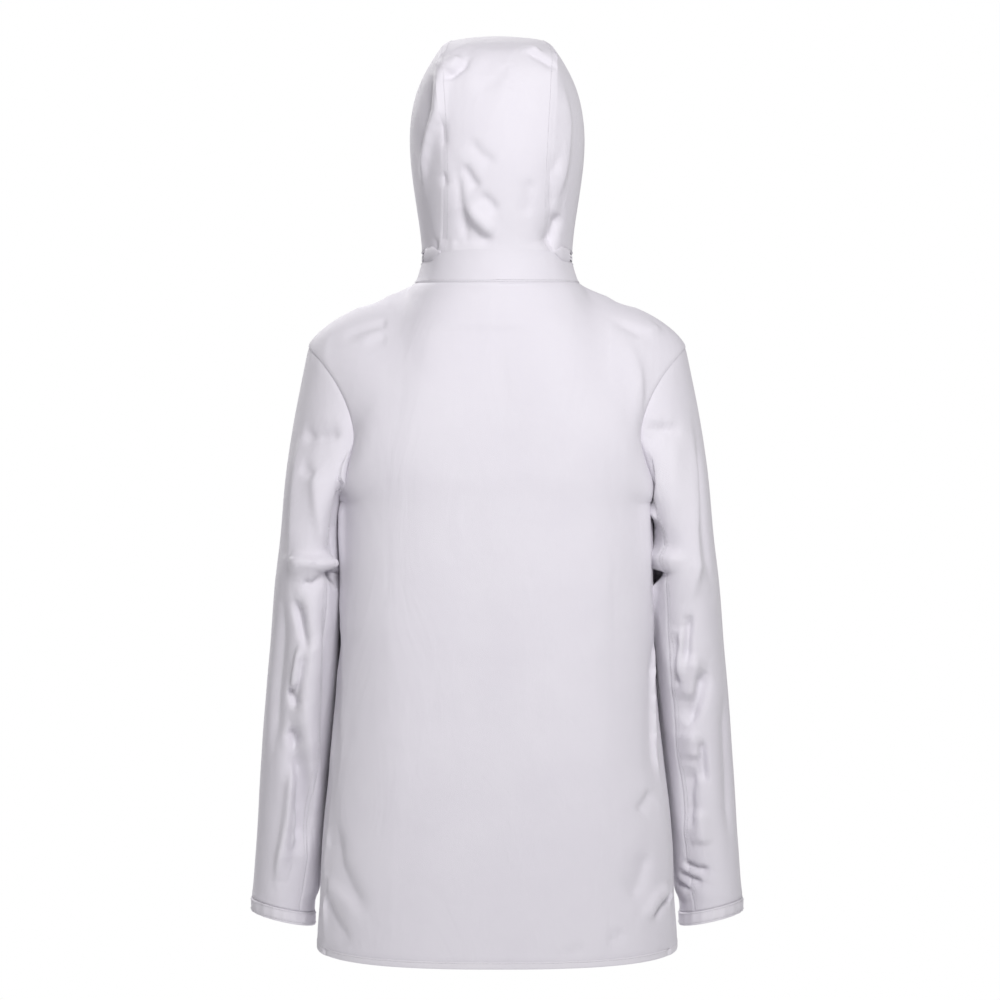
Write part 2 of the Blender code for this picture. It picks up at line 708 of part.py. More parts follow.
def front_zip(collar_rows):
    """Two tapes and a wind guard behind the panels' edges, two rows of teeth, stops and foot box."""
    down, side, out = front_axes()
    start, end = 0.012, (FRONT_FOOT - FRONT_TOP).length
    axes = (down, side, out)
    teeth_n = (-CLOTH / 2 - ZIP_TEETH_T / 2, -CLOTH / 2 + ZIP_TEETH_T / 2)
    edges = front_edge_rows(collar_rows)
    edges[0] = (edges[0][0] + Vector((0, 0, 0.004)), edges[0][1] + Vector((0, 0, 0.004)))

    def along(pair, x):
        a, b = pair
        return a + (b - a).normalized() * (x - FRONT_EDGE)

    def inside(p):
        return Vector((p.x, 0, p.z))

    for s in (LEFT, RIGHT):
        name = SIDE_NAME[s]
        xs = sorted((s * ZIP_SLOT, s * (ZIP_SLOT + ZIP_TEETH_W)))
        teeth = box_between(FRONT_TOP, axes, (start, xs[0], teeth_n[0]), (end, xs[1], teeth_n[1]))
        add_object(f"{name}_front_zip_teeth", *turned_out(*teeth), "teeth", smooth=False)
        xs = sorted((s * ZIP_SLOT, s * 0.0034))
        low, high = (start - 0.0033, xs[0], -0.0022), (start - 0.0003, xs[1], 0.0008)
        stop = turned_out(*box_between(FRONT_TOP, axes, low, high))
        add_object(f"{name}_zip_stop", *stop, "teeth", smooth=False)
        rows = [[mirror(along(e, x), s) for x in (TAPE_FROM, TAPE_TO)] for e in edges]
        tape = Panel(f"{name}_front_zip_tape", rows, inside)
        tape.measure()
        add_object(tape.name, *tape.solid(-CLOTH - TAPE_DEPTH, TAPE_T), "tape", smooth=False)
    guard = []
    for e in edges:
        guard.append([mirror(along(e, 0.017), RIGHT), mirror(along(e, FRONT_EDGE), RIGHT)])
        guard[-1] += [along(e, FRONT_EDGE), along(e, 0.021)]
    guard = Panel("wind_guard", guard, inside)
    guard.measure()
    add_object(guard.name, *guard.solid(-GUARD_DEPTH, CLOTH), "cloth")
    low, high = (end + 0.0003, -0.0050, -0.0032), (end + 0.0100, 0.0050, 0.0016)
    add_object("zip_foot_box", *turned_out(*box_between(FRONT_TOP, axes, low, high)), "teeth", False)


def slider_solid(corner, axes):
    """A slider in its own frame: x along the zip towards its open end, y across, z outwards.

    Two plates hold the teeth between them, a web joins them through the slot, and a bail on the
    front plate holds the pull. The frame's origin is the middle of the teeth.
    """
    half_l, half_w, lip, plate = 0.0048, 0.0034, 0.00145, 0.0011
    web = 0.0004
    post, bail_top = 0.0008, lip + plate + 0.0029
    section = [
        (-half_w, -lip - plate),
        (half_w, -lip - plate),
        (half_w, -lip),
        (web, -lip),
        (web, lip),
        (half_w, lip),
        (half_w, lip + plate),
        (-half_w, lip + plate),
        (-half_w, lip),
        (-web, lip),
        (-web, -lip),
        (-half_w, -lip),
    ]
    count = len(section)
    points = [Vector((x, y, z)) for x in (-half_l, half_l) for y, z in section]
    faces = [tuple(range(count))[::-1], tuple(range(count, 2 * count))]
    for i in range(count):
        j = (i + 1) % count
        faces.append((i, j, j + count, i + count))
    body = turned_out(points, faces)
    deck = lip + plate
    arch = [(-0.0030, deck - 0.0002), (-0.0030, bail_top), (0.0030, bail_top), (0.0030, deck - 0.0002)]
    hole = [(0.0030 - post, deck - 0.0002), (0.0030 - post, bail_top - post)]
    hole += [(-0.0030 + post, bail_top - post), (-0.0030 + post, deck - 0.0002)]
    loop = arch + hole
    count = len(loop)
    points = [Vector((x, y, z)) for y in (-0.0011, 0.0011) for x, z in loop]
    quads = [(0, 1, 6, 7), (1, 2, 5, 6), (2, 3, 4, 5)]
    faces = [q[::-1] for q in quads] + [tuple(i + count for i in q) for q in quads]
    for i in range(count):
        j = (i + 1) % count
        faces.append((i, j, j + count, i + count))
    bail = turned_out(points, faces)
    turn = Matrix([[axes[c][r] for c in range(3)] for r in range(3)])
    return [([corner + turn @ p for p in pts], f) for pts, f in (body, bail)]


def pull_solid(corner, axes, length):
    """A pull that hangs from the bail: a cross bar through it, two arms and a tapered tab."""
    bar, arm_in, arm_out = 0.00055, 0.0017, 0.0027
    top, shoulder = -bar, 0.0052
    outline = [
        (top, -arm_out),
        (top, arm_out),
        (shoulder, arm_out),
        (length * 0.8, 0.0036),
        (length, 0.0026),
        (length, -0.0026),
        (length * 0.8, -0.0036),
        (shoulder, -arm_out),
    ]
    window = [(bar, -arm_in), (bar, arm_in), (shoulder - 0.0006, arm_in), (shoulder - 0.0006, -arm_in)]
    points = [Vector((x, y, z)) for z in (-bar, bar) for x, y in outline + window]
    caps = [(0, 1, 9, 8), (1, 2, 10, 9), (2, 7, 11, 10), (7, 0, 8, 11)]
    caps += [(2, 3, 6, 7), (3, 4, 5, 6)]
    count = len(outline) + len(window)
    faces = [q[::-1] for q in caps] + [tuple(i + count for i in q) for q in caps]
    for i in range(8):
        j = (i + 1) % 8
        faces.append((i, j, j + count, i + count))
    for i in range(4):
        a, b = 8 + i, 8 + (i + 1) % 4
        faces.append((b, a, a + count, b + count))
    turn = Matrix([[axes[c][r] for c in range(3)] for r in range(3)])
    return turned_out([corner + turn @ p for p in points], faces)


PULL_HEIGHT = 0.00145 + 0.0011 + 0.00105  # the bail's bar hole above the middle of the teeth


def union_object(name, pieces, finish):
    """Bodies that touch, joined into one solid with a Boolean."""
    first = add_object(name, *pieces[0], finish, smooth=False)
    for k, piece in enumerate(pieces[1:]):
        tool = add_object(f"{name}_tool{k}", *piece, finish, smooth=False)
        tool.hide_render = True
        tool.display_type = "WIRE"
        mod = first.modifiers.new("join", "BOOLEAN")
        mod.operation, mod.solver, mod.object = "UNION", "EXACT", tool
    return first


MAIN_SLIDER_AT = 0.052  # how far below the collar's top the closed front slider sits


def main_slider():
    """The front zip's slider and pull, closed, at the top."""
    down, side, out = front_axes()
    corner = FRONT_TOP + down * MAIN_SLIDER_AT - out * CLOTH / 2
    axes = (down, side, out)
    union_object("front_slider", slider_solid(corner, axes), "steel")
    pull = pull_solid(corner + out * PULL_HEIGHT, axes, 0.030)
    add_object("front_slider_pull", *pull, "steel", smooth=False)


def neck_zip():
    """The zip between collar and hood: tape and teeth on each, round the front of the neck."""
    start = math.pi - ZIP_FRONT_HALF_ANGLE
    teeth_r = (RING_R - CLOTH / 2 - ZIP_TEETH_T / 2, RING_R - CLOTH / 2 + ZIP_TEETH_T / 2)
    tape_r = (RING_R - CLOTH - TAPE_DEPTH - TAPE_T, RING_R - CLOTH - TAPE_DEPTH)
    tape_edges = [a for a in collar_angles(RING_R) if a >= start - 0.01]
    mirrored = [2 * math.pi - a for a in tape_edges[::-1]]
    close = math.pi - math.radians(1.2)

    def add(name, angles, radii, low, high, sign, finish):
        heights = sorted((sign * low, sign * high))
        add_object(name, *ring_bar(angles, radii, heights), finish, smooth=False)

    teeth = (teeth_r, ZIP_SLOT, ZIP_SLOT + ZIP_TEETH_W)
    tape = (tape_r, TAPE_FROM, TAPE_TO)
    left = steps(start + 0.02, close, 16)
    right = [2 * math.pi - a for a in left[::-1]]
    add("hood_zip_teeth", left[:-1] + [math.pi] + right[1:], *teeth, 1, "teeth")
    add("hood_zip_tape", tape_edges[:-1] + [math.pi] + mirrored[1:], *tape, 1, "tape")
    add("left_collar_zip_teeth", left, *teeth, -1, "teeth")
    add("right_collar_zip_teeth", right, *teeth, -1, "teeth")
    add("left_collar_zip_tape", tape_edges, *tape, -1, "tape")
    add("right_collar_zip_tape", mirrored, *tape, -1, "tape")


NECK_SLIDER_ANGLE = math.radians(6.0)  # each neck slider rests this far from centre front


def neck_slider(side):
    angle = math.pi - side * NECK_SLIDER_ANGLE
    corner = ring_point(angle, RING_R - CLOTH / 2)
    out = (ring_point(angle, 2 * RING_R) - ring_point(angle, RING_R)).normalized()
    up = (ring_point(angle, RING_R, 1.0) - ring_point(angle, RING_R)).normalized()
    along = up.cross(out).normalized()
    if along.x * side < 0:
        along = -along
    name = SIDE_NAME[side]
    across = out.cross(along).normalized()
    axes = (along, across, out)
    union_object(f"{name}_neck_slider", slider_solid(corner, axes), "steel")
    pull = pull_solid(corner + out * PULL_HEIGHT, axes, 0.022)
    add_object(f"{name}_neck_slider_pull", *pull, "steel", smooth=False)


def front_patch(name, side, us, vs, lift, thick, finish, columns=6, rows=5):
    """A layer of cloth lying on a front panel, over a rectangle of its surface."""
    points = [
        [mirror(torso(u, v, False), side) for u in steps(*us, columns)] for v in steps(*vs, rows)
    ]
    panel = Panel(name, points, lambda p: Vector((0, 0, p.z)), finish)
    panel.measure()
    add_object(name, *panel.solid(lift + thick, thick), finish)


PATCH_LIFT = 0.0012  # air between a patch and the cloth below it
HIP_U, HIP_V = (0.24, 0.74), (-0.86, -0.46)
HIP_FLAP_V = (-0.555, -0.435)
CHEST_U, CHEST_V = (0.26, 0.56), (-0.10, 0.22)
CHEST_FLAP_V = (0.12, 0.245)
PAD_T = 0.0008


def pocket(name, side, us, vs, flap_us, flap_vs):
    """A patch pocket, its flap, and the hook-and-loop pads that close it."""
    first = PATCH_LIFT
    front_patch(f"{name}_pocket", side, us, vs, first, CLOTH, "cloth")
    pad_us = (lerp(*us, 0.36), lerp(*us, 0.64))
    pad_vs = (lerp(*flap_vs, 0.12), lerp(*flap_vs, 0.36))
    loop_lift = first + CLOTH + 0.0003
    front_patch(f"{name}_loop_pad", side, pad_us, pad_vs, loop_lift, PAD_T, "hook", 3, 2)
    hook_lift = loop_lift + PAD_T + 0.0003
    front_patch(f"{name}_hook_pad", side, pad_us, pad_vs, hook_lift, PAD_T, "hook", 3, 2)
    flap_lift = hook_lift + PAD_T + 0.0003
    front_patch(f"{name}_flap", side, flap_us, flap_vs, flap_lift, CLOTH, "cloth", 6, 3)


def pockets():
    grown = (HIP_U[0] - 0.012, HIP_U[1] + 0.012)
    for side in (LEFT, RIGHT):
        pocket(f"{SIDE_NAME[side]}_hip", side, HIP_U, HIP_V, grown, HIP_FLAP_V)
    grown = (CHEST_U[0] - 0.010, CHEST_U[1] + 0.010)
    pocket("chest", LEFT, CHEST_U, CHEST_V, grown, CHEST_FLAP_V)


FLAP_TURN = (math.radians(152), math.radians(214))  # its sewn edge and its free edge
FLAP_RISE = (0.34, 0.94)  # its lower and upper edge, from the neck seam to the collar's ledge


def throat_flap():
    """A tab over the top of the front zip, closed with hook and loop."""

    def patch(name, turns, rise, lift, thick, finish, columns):
        rows = []
        for t in steps(*rise, 2):
            row = []
            for a in steps(*turns, columns):
                low, high = neck_point(abs(a)), ring_point(a, RING_R, -ZIP_CLEAR)
                low.x = NECK_WIDTH * math.sin(a)
                row.append(lerp(low, high, t))
            rows.append(row)
        panel = Panel(name, rows, lambda p: Vector((0, 0, p.z)))
        panel.measure()
        add_object(name, *panel.solid(lift + thick, thick), finish)

    pad_turns = (math.radians(206.5), math.radians(212.5))
    pad_rise = (0.44, 0.84)
    lift = 0.0005
    patch("throat_loop_pad", pad_turns, pad_rise, lift, PAD_T, "hook", 1)
    lift += PAD_T + 0.0003
    patch("throat_hook_pad", pad_turns, pad_rise, lift, PAD_T, "hook", 1)
    lift += PAD_T + 0.0003
    patch("throat_flap", FLAP_TURN, FLAP_RISE, lift, CLOTH, "cloth", 8)


def arch_strip(name, path, outs, width, thick, finish):
    """A springy strip along a path, its flat side facing outs at each point."""
    stations = []
    for k, p in enumerate(path):
        ahead = path[min(k + 1, len(path) - 1)] - path[max(k - 1, 0)]
        out = outs[k].normalized()
        across = ahead.normalized().cross(out).normalized() * width / 2
        stations.append([p - across, p + across, p + across - out * thick, p - across - out * thick])
    add_object(name, *turned_out(*rim_strip(stations)), finish, smooth=False)


def veil_boning():
    """The arch inside the hood's face edge, and the arch that holds the net off the face."""
    centre = Vector((0, -0.03, 0.13))
    inset = CLOTH + 0.0012
    vs = steps(0, 1, HOOD_BACK_ROWS)[1:]
    left = [lerp(hood_side(0.8, v), hood_side(1.0, v), 0.75) for v in vs]
    last = lerp(HOOD_CORNER, HOOD_FACE, 0.8)
    over = [lerp(hood_strip(u, last), hood_strip(u, HOOD_FACE), 0.75) for u in steps(1, 0, 3)[1:]]
    half = left[:-1] + over
    whole = half + [mirror(p, -1) for p in half[-2::-1]]
    outs = []
    for k, p in enumerate(whole):
        ahead = whole[min(k + 1, len(whole) - 1)] - whole[max(k - 1, 0)]
        out = Vector((0, 1, 0)).cross(ahead).normalized()
        outs.append(out if out.dot(p - centre) > 0 else -out)
    path = [p - n * inset for p, n in zip(whole, outs)]
    arch_strip("face_boning", path, outs, 0.006, 0.0012, "boning")
    low, high = (5 / HOOD_BACK_ROWS, 6 / HOOD_BACK_ROWS)
    rows = [[veil(t, v) for t in steps(0, 1, 8)] for v in (low, high)]
    for row in rows:
        row[0], row[-1] = lerp(row[0], row[1], 0.10), lerp(row[-1], row[-2], 0.10)
    strip = [[lerp(a, b, t) for a, b in zip(*rows)] for t in (0.3, 0.6)]
    strip = Panel("veil_boning", strip, lambda p: Vector((0, -0.03, 0.13)))
    strip.measure()
    add_object(strip.name, *strip.solid(-MESH_CLOTH - 0.0005, 0.0012), "boning")


def hanger_loop():
    """A tape loop inside the back of the neck; its top stretch has a flat underside for a hook."""
    y, foot, top, half, thick, deep = 0.0735, -0.0160, 0.0060, 0.030, 0.0012, 0.0080
    outer = [(-half, foot), (-half, top), (half, top), (half, foot)]
    inner = [(half - thick, foot), (half - thick, top - thick)]
    inner += [(-half + thick, top - thick), (-half + thick, foot)]
    loop = outer + inner
    points = [Vector((x, y - d, z)) for d in (0, deep) for x, z in loop]
    quads = [(0, 1, 6, 7), (1, 2, 5, 6), (2, 3, 4, 5)]
    faces = [q[::-1] for q in quads] + [tuple(i + 8 for i in q) for q in quads]
    for i in range(8):
        faces.append((i, (i + 1) % 8, (i + 1) % 8 + 8, i + 8))
    add_object("hanger_loop", *turned_out(points, faces), "trim", smooth=False)


def main():
    for obj in list(bpy.data.objects):
        bpy.data.objects.remove(obj)
    collar, collar_rows = collar_panel()
    jacket = [*torso_panels(), collar]
    for side in (LEFT, RIGHT):
        jacket += sleeve_panels(side)
    build_panels(jacket)
    build_panels(hood_panels())
    hem_binding()
    for side in (LEFT, RIGHT):
        cuff(side)
        neck_slider(side)
    front_zip(collar_rows)
    main_slider()
    neck_zip()
    pockets()
    throat_flap()
    veil_boning()
    hanger_loop()


main()
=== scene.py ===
"""The looks of the hooded beekeeping jacket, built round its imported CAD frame.

Metres, +Z up, the wearer faces -Y and their left is +X. The cloth panels follow the same
surfaces as the CAD part, on a finer grid. They are sewn together, draped by a short cloth
simulation over an inner form, creased, and cut apart again at their seams.
"""

import json
import math

import bpy
import numpy as np
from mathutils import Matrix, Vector
from mathutils.kdtree import KDTree

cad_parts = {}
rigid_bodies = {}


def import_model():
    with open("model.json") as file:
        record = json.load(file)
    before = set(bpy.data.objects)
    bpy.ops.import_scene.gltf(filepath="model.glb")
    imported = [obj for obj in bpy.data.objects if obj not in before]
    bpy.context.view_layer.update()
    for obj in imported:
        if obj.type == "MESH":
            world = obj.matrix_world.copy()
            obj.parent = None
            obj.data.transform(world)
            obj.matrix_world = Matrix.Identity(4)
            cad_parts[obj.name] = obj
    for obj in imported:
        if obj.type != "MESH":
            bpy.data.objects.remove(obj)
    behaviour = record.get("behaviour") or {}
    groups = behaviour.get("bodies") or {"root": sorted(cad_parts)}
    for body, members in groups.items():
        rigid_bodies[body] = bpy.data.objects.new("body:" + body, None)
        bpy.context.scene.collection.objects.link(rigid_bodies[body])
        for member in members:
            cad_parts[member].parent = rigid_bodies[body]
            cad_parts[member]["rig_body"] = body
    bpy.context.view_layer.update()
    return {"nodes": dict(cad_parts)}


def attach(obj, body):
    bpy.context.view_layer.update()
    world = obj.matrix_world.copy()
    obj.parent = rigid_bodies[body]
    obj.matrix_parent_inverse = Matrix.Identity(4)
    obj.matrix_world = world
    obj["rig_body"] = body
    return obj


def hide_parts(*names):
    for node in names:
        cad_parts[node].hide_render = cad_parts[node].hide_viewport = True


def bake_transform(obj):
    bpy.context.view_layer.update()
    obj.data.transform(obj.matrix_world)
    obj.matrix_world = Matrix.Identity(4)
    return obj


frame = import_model()

# ------------------------------------------------------------------ the part's driving dimensions
CLOTH = 0.0016
TORSO = [
    (-0.740, 0.1985, 0.128),
    (-0.660, 0.1975, 0.1275),
    (-0.600, 0.1955, 0.126),
    (-0.534, 0.1885, 0.124),
    (-0.450, 0.1785, 0.121),
    (-0.340, 0.1722, 0.119),
    (-0.235, 0.1700, 0.1175),
]
ROUNDNESS = 2.5
HEM_BACK, HEM_SIDE, HEM_FRONT, HEM_BAND = -0.7376, -0.7255, -0.7120, 0.008
UNDERARM = -0.235
NECK_WIDTH, NECK_DEPTH, NECK_SIDE, NECK_DROP = 0.089, 0.0865, 0.004, 0.044
RING_R, RING_Z, RING_TILT = 0.083, 0.034, math.radians(4.0)
ZIP_HALF_ANGLE = math.radians(120.0)
ZIP_CLEAR = 0.005
FRONT_TOP = Vector((0.0, -RING_R * math.cos(RING_TILT), RING_Z - RING_R * math.sin(RING_TILT)))
FRONT_FOOT = Vector((0.0, -0.122, -0.700))
FRONT_EDGE = 0.0055
ARM_TOP, ARM_MID_Z, ARM_HALF_Z = 0.207, -0.1475, 0.0875
ARM_BACK, ARM_FRONT, ARM_CUT_IN = 0.072, 0.075, 0.034
SLEEVE = [
    (0.2065, -0.002, -0.262, 0.0335, 0.0770),
    (0.2095, -0.008, -0.330, 0.0368, 0.0740),
    (0.2136, -0.015, -0.395, 0.0377, 0.0700),
    (0.2195, -0.023, -0.455, 0.0376, 0.0655),
    (0.2266, -0.031, -0.534, 0.0363, 0.0590),
    (0.2322, -0.038, -0.605, 0.0352, 0.0530),
    (0.2370, -0.044, -0.660, 0.0345, 0.0490),
    (0.2388, -0.046, -0.6835, 0.0347, 0.0475),
]
CUFF_SLANT, CUFF_BAND = 0.0080, 0.015
ARM_FORWARD = 0.27  # how much a sleeve's front leans in towards the chest
HOOD_LINE = [
    (RING_R * math.cos(RING_TILT), RING_Z + RING_R * math.sin(RING_TILT)),
    (0.0985, 0.085),
    (0.1085, 0.135),
    (0.1085, 0.185),
    (0.0970, 0.230),
    (0.0700, 0.2600),
    (0.0250, 0.2750),
    (-0.0300, 0.2840),
    (-0.0550, 0.2870),
    (-0.1000, 0.2900),
    (-0.1480, 0.2860),
]
STRIP_HALF = [(0.0, 0.0587), (0.25, 0.0590), (0.60, 0.0640), (0.80, 0.0570), (1.0, 0.0560)]
HOOD_CORNER, HOOD_FACE, HOOD_BULGE, BRIM_REACH = 5.05, 8.0, 0.029, 0.099
VEIL_LINE = [
    (FRONT_TOP.y, FRONT_TOP.z),
    (-0.128, 0.062),
    (-0.158, 0.110),
    (-0.170, 0.165),
    (-0.164, 0.225),
    (-0.146, 0.2752),
]
BIB_TOP = 2 / 9  # how far up the veil the white bib reaches
HIP_U, HIP_V, HIP_FLAP_V = (0.24, 0.74), (-0.86, -0.46), (-0.555, -0.435)
CHEST_U, CHEST_V, CHEST_FLAP_V = (0.26, 0.56), (-0.10, 0.22), (0.12, 0.245)
FLAP_TURN, FLAP_RISE = (math.radians(152), math.radians(214)), (0.34, 0.94)

LEFT, RIGHT = 1, -1
SIDES = {"left": LEFT, "right": RIGHT}

# ------------------------------------------------------------------ this script's own values
HALF_COLUMNS = 36  # cells from the centre of the back or front to the side seam
LOWER_ROWS, ARM_CELLS = 70, 30  # rows below the underarm, and from there to the shoulder
CAP_ROWS, TUBE_ROWS = 12, 66  # sleeve rows above and below its first full ring
COLLAR_ROWS = 8
HOOD_ROWS, HOOD_SIDE_CELLS, STRIP_CELLS, BRIM_CELLS = 45, 25, 20, 16
VEIL_CELLS = 40
FINER = {"panel": 2, "sleeve": 3, "hood": 3, "veil": 2, "collar": 3}  # finer grid after draping
SEWN_CELLS = 12  # collar cells each side of centre back that the hood is sewn to
SHEET = 0.0011  # thickness of the cloth that shows
SEAM_DIP = 0.0007  # how deep a seam sinks
THREAD = 0.00042


# ------------------------------------------------------------------ small maths
def lerp(a, b, t):
    return a + (b - a) * t


def smoothstep(t):
    t = min(1.0, max(0.0, t))
    return t * t * (3 - 2 * t)


def steps(a, b, count):
    return [lerp(a, b, i / count) for i in range(count + 1)]


def catmull(rows, t):
    """A smooth line through rows of numbers; row 0 is at t = 0 and row k at t = k."""
    last = len(rows) - 1
    k = min(max(int(math.floor(t)), 0), last - 1)
    f = t - k
    p = [rows[min(max(i, 0), last)] for i in (k - 1, k, k + 1, k + 2)]
    return [
        0.5
        * (
            2 * b
            + (c - a) * f
            + (2 * a - 5 * b + 4 * c - d) * f * f
            + (3 * b - a - 3 * c + d) * f**3
        )
        for a, b, c, d in zip(*p)
    ]


def table(rows, x):
    """Smooth values at x of rows that start with a rising key."""
    keys = [r[0] for r in rows]
    x = min(max(x, keys[0]), keys[-1])
    k = max(i for i in range(len(keys) - 1) if keys[i] <= x)
    return catmull([r[1:] for r in rows], k + (x - keys[k]) / (keys[k + 1] - keys[k]))


def power_arc(t, n=ROUNDNESS):
    a = t * math.pi / 2
    return math.sin(a) ** (2 / n), max(math.cos(a), 0.0) ** (2 / n)


def bezier(points, t):
    a, b, c, d = points
    return a * (1 - t) ** 3 + b * 3 * t * (1 - t) ** 2 + c * 3 * t * t * (1 - t) + d * t**3


def coons(bottom, top, left, right, u, v):
    ruled = lerp(bottom(u), top(u), v) + lerp(left(v), right(v), u)
    corners = lerp(lerp(bottom(0), bottom(1), u), lerp(top(0), top(1), u), v)
    return ruled - corners


def mirror(p, side):
    return Vector((p.x * side, p.y, p.z))


# ------------------------------------------------------------------ the part's surfaces
def zip_line(z):
    return lerp(FRONT_FOOT, FRONT_TOP, (z - FRONT_FOOT.z) / (FRONT_TOP.z - FRONT_FOOT.z))


def neck_point(angle):
    """The neck seam; angle 0 is centre back, a right angle the side, a half turn centre front."""
    drop = max(0.0, -math.cos(angle)) ** 2 * NECK_DROP
    lift = math.sin(angle) ** 2 * NECK_SIDE if angle < math.pi / 2 else NECK_SIDE
    return Vector((NECK_WIDTH * math.sin(angle), NECK_DEPTH * math.cos(angle), lift - drop))


def front_turn(t, radius):
    return math.pi - lerp(math.asin(FRONT_EDGE / radius), math.pi / 2, t)


def ring_point(angle, radius=RING_R, up=0.0):
    """A point of the neck zip's circle, with the same angles as the neck seam."""
    x, e = radius * math.sin(angle), radius * math.cos(angle)
    c, s = math.cos(RING_TILT), math.sin(RING_TILT)
    return Vector((x, e * c - up * s, RING_Z + e * s + up * c))


def shoulder_seam(t):
    tip = Vector((ARM_TOP, 0, ARM_MID_Z + ARM_HALF_Z))
    neck = Vector((NECK_WIDTH, 0, NECK_SIDE))
    return bezier((neck, Vector((0.135, 0, -0.012)), Vector((0.186, 0, -0.026)), tip), t)


def armhole(angle):
    """The armhole seam; 0 is the shoulder tip, +90 degrees the back, 180 the underarm."""
    c, s = math.cos(angle), math.sin(angle)
    middle = (ARM_TOP + TORSO[-1][1]) / 2
    cut_in = abs(s) ** (2 if c > 0 else 3.5)
    x = middle + (ARM_TOP - TORSO[-1][1]) / 2 * c - ARM_CUT_IN * cut_in
    return Vector((x, (ARM_BACK if s > 0 else ARM_FRONT) * s, ARM_MID_Z + ARM_HALF_Z * c))


def hem_height(u, back):
    return lerp(HEM_BACK if back else HEM_FRONT, HEM_SIDE, u * u)


def lower_torso(u, v, back):
    z = lerp(hem_height(u, back) + HEM_BAND, UNDERARM, v)
    half, depth = table(TORSO, z)
    across, along = power_arc(u)
    if back:
        return Vector((half * across, depth * along, z))
    return Vector((lerp(FRONT_EDGE, half, across), zip_line(z).y * along, z))


def upper_torso(u, v, back):
    def top(t):
        if t <= 0.5:
            return neck_point(t * math.pi if back else front_turn(2 * t, NECK_WIDTH))
        return shoulder_seam(2 * t - 1)

    def arm(t):
        turn = math.pi * (1 - t)
        return armhole(turn if back else -turn)

    def centre(t):
        if back:
            rows = [(TORSO[-1][2], UNDERARM), (0.1155, -0.165), (0.1090, -0.095), (0.0985, -0.040)]
            y, z = catmull([*rows, (NECK_DEPTH, 0.0)], 4 * t)
            return Vector((0.0, y, z))
        z = lerp(UNDERARM, top(0).z, t)
        return Vector((FRONT_EDGE, lerp(zip_line(z).y, top(0).y, t**4), z))

    start, end = top(0), top(1)
    low = Vector((0.105, start.y * 0.74, start.z * 0.6)), Vector((0.172, start.y * 0.14, -0.018))
    rounded = [start, *low, end]
    p = coons(lambda t: lower_torso(t, 1.0, back), lambda t: bezier(rounded, t), centre, arm, u, v)
    return p + (top(u) - bezier(rounded, u)) * v**3


def torso(u, v, back):
    """v from -1 at the hem band to 0 at the underarm and 1 at the neck."""
    return lower_torso(u, v + 1, back) if v <= 0 else upper_torso(u, v, back)


def sleeve_ring(t, angle):
    x, y, z, across, deep = catmull(SLEEVE, t)
    slant = CUFF_SLANT * smoothstep(t / (len(SLEEVE) - 1))
    c, s = math.cos(angle), math.sin(angle)
    lean = ARM_FORWARD * math.sin(math.pi * min(t / (len(SLEEVE) - 1), 1) ** 0.8)
    # leaves room for the hip flap to lift
    lean *= 1 - 0.9 * math.exp(-(((z + 0.445) / 0.045) ** 2))
    return Vector((x + across * c + lean * deep * min(s, 0), y + deep * s, z + slant * c))


def sleeve(t, angle):
    """t from -1 at the armhole to 0 at the first ring, then down the rows of SLEEVE."""
    if t >= 0:
        return sleeve_ring(t, angle)
    f = t + 1
    p = lerp(armhole(angle), sleeve_ring(0, angle), f)
    swell = math.sin(math.pi * f)
    p.x += 0.0035 * swell * max(math.cos(angle), 0.0)
    p.y += 0.004 * swell * math.sin(angle)
    return p


def hood_line(t):
    y, z = catmull(HOOD_LINE, t)
    return Vector((0.0, y, z))


def strip_half_width(t):
    if t <= HOOD_FACE:
        return table(STRIP_HALF, t / HOOD_FACE)[0]
    reach = (hood_line(HOOD_FACE).y - hood_line(t).y) / BRIM_REACH
    return max(0.018, STRIP_HALF[-1][1] * (1 - min(reach, 1.0) ** 2.6) ** (1 / 2.6))


def hood_strip(u, t):
    """The hood's middle panel; u from -1 to 1 across, t along the hood line."""
    if t <= 0.0:
        return ring_point(u * math.radians(45.0))
    m = hood_line(t)
    tangent = (hood_line(min(t + 0.05, 10.0)) - hood_line(max(t - 0.05, 0.0))).normalized()
    inwards = Vector((0.0, -tangent.z, tangent.y))
    back, crown = 0.0165, 0.006
    sag = lerp(back, crown, smoothstep((t - 3.2) / 2.6))
    sag = lerp(RING_R * (1 - math.cos(math.radians(45))), sag, smoothstep(t / 1.5))
    return m + Vector((strip_half_width(t) * u, 0, 0)) + inwards * sag * abs(u) ** 2.2


def hood_side(u, v):
    """Side panel for +X; u from the back seam to the face, v from the neck to the top seam."""

    def bottom(t):
        return ring_point(math.radians(lerp(45, 120, t)))

    def top(t):
        return hood_strip(1.0, lerp(HOOD_CORNER, HOOD_FACE, t))

    def back(t):
        return hood_strip(1.0, HOOD_CORNER * t)

    def face(t):
        return lerp(bottom(1), top(1), t)

    p = coons(bottom, top, back, face, u, v)
    p.x += HOOD_BULGE * math.sin(math.pi * v**1.3) * math.sin(min(1.0, u / 0.55) * math.pi / 2)
    p.y -= 0.010 * math.sin(math.pi * v) * u
    return p


def veil(across, v):
    edge = hood_side(1.0, v)
    y, z = catmull(VEIL_LINE, v * (len(VEIL_LINE) - 1))
    a = across * math.pi
    c, s = math.cos(a), math.sin(a)
    n = 2 / 2.3
    side, front = abs(c) ** n * (1 if c > 0 else -1), s**n
    p = Vector((edge.x * side, lerp(edge.y, y, front), lerp(edge.z, z, front)))
    return lerp(ring_point(math.radians(lerp(120, 240, across))), p, smoothstep(v / 0.2))


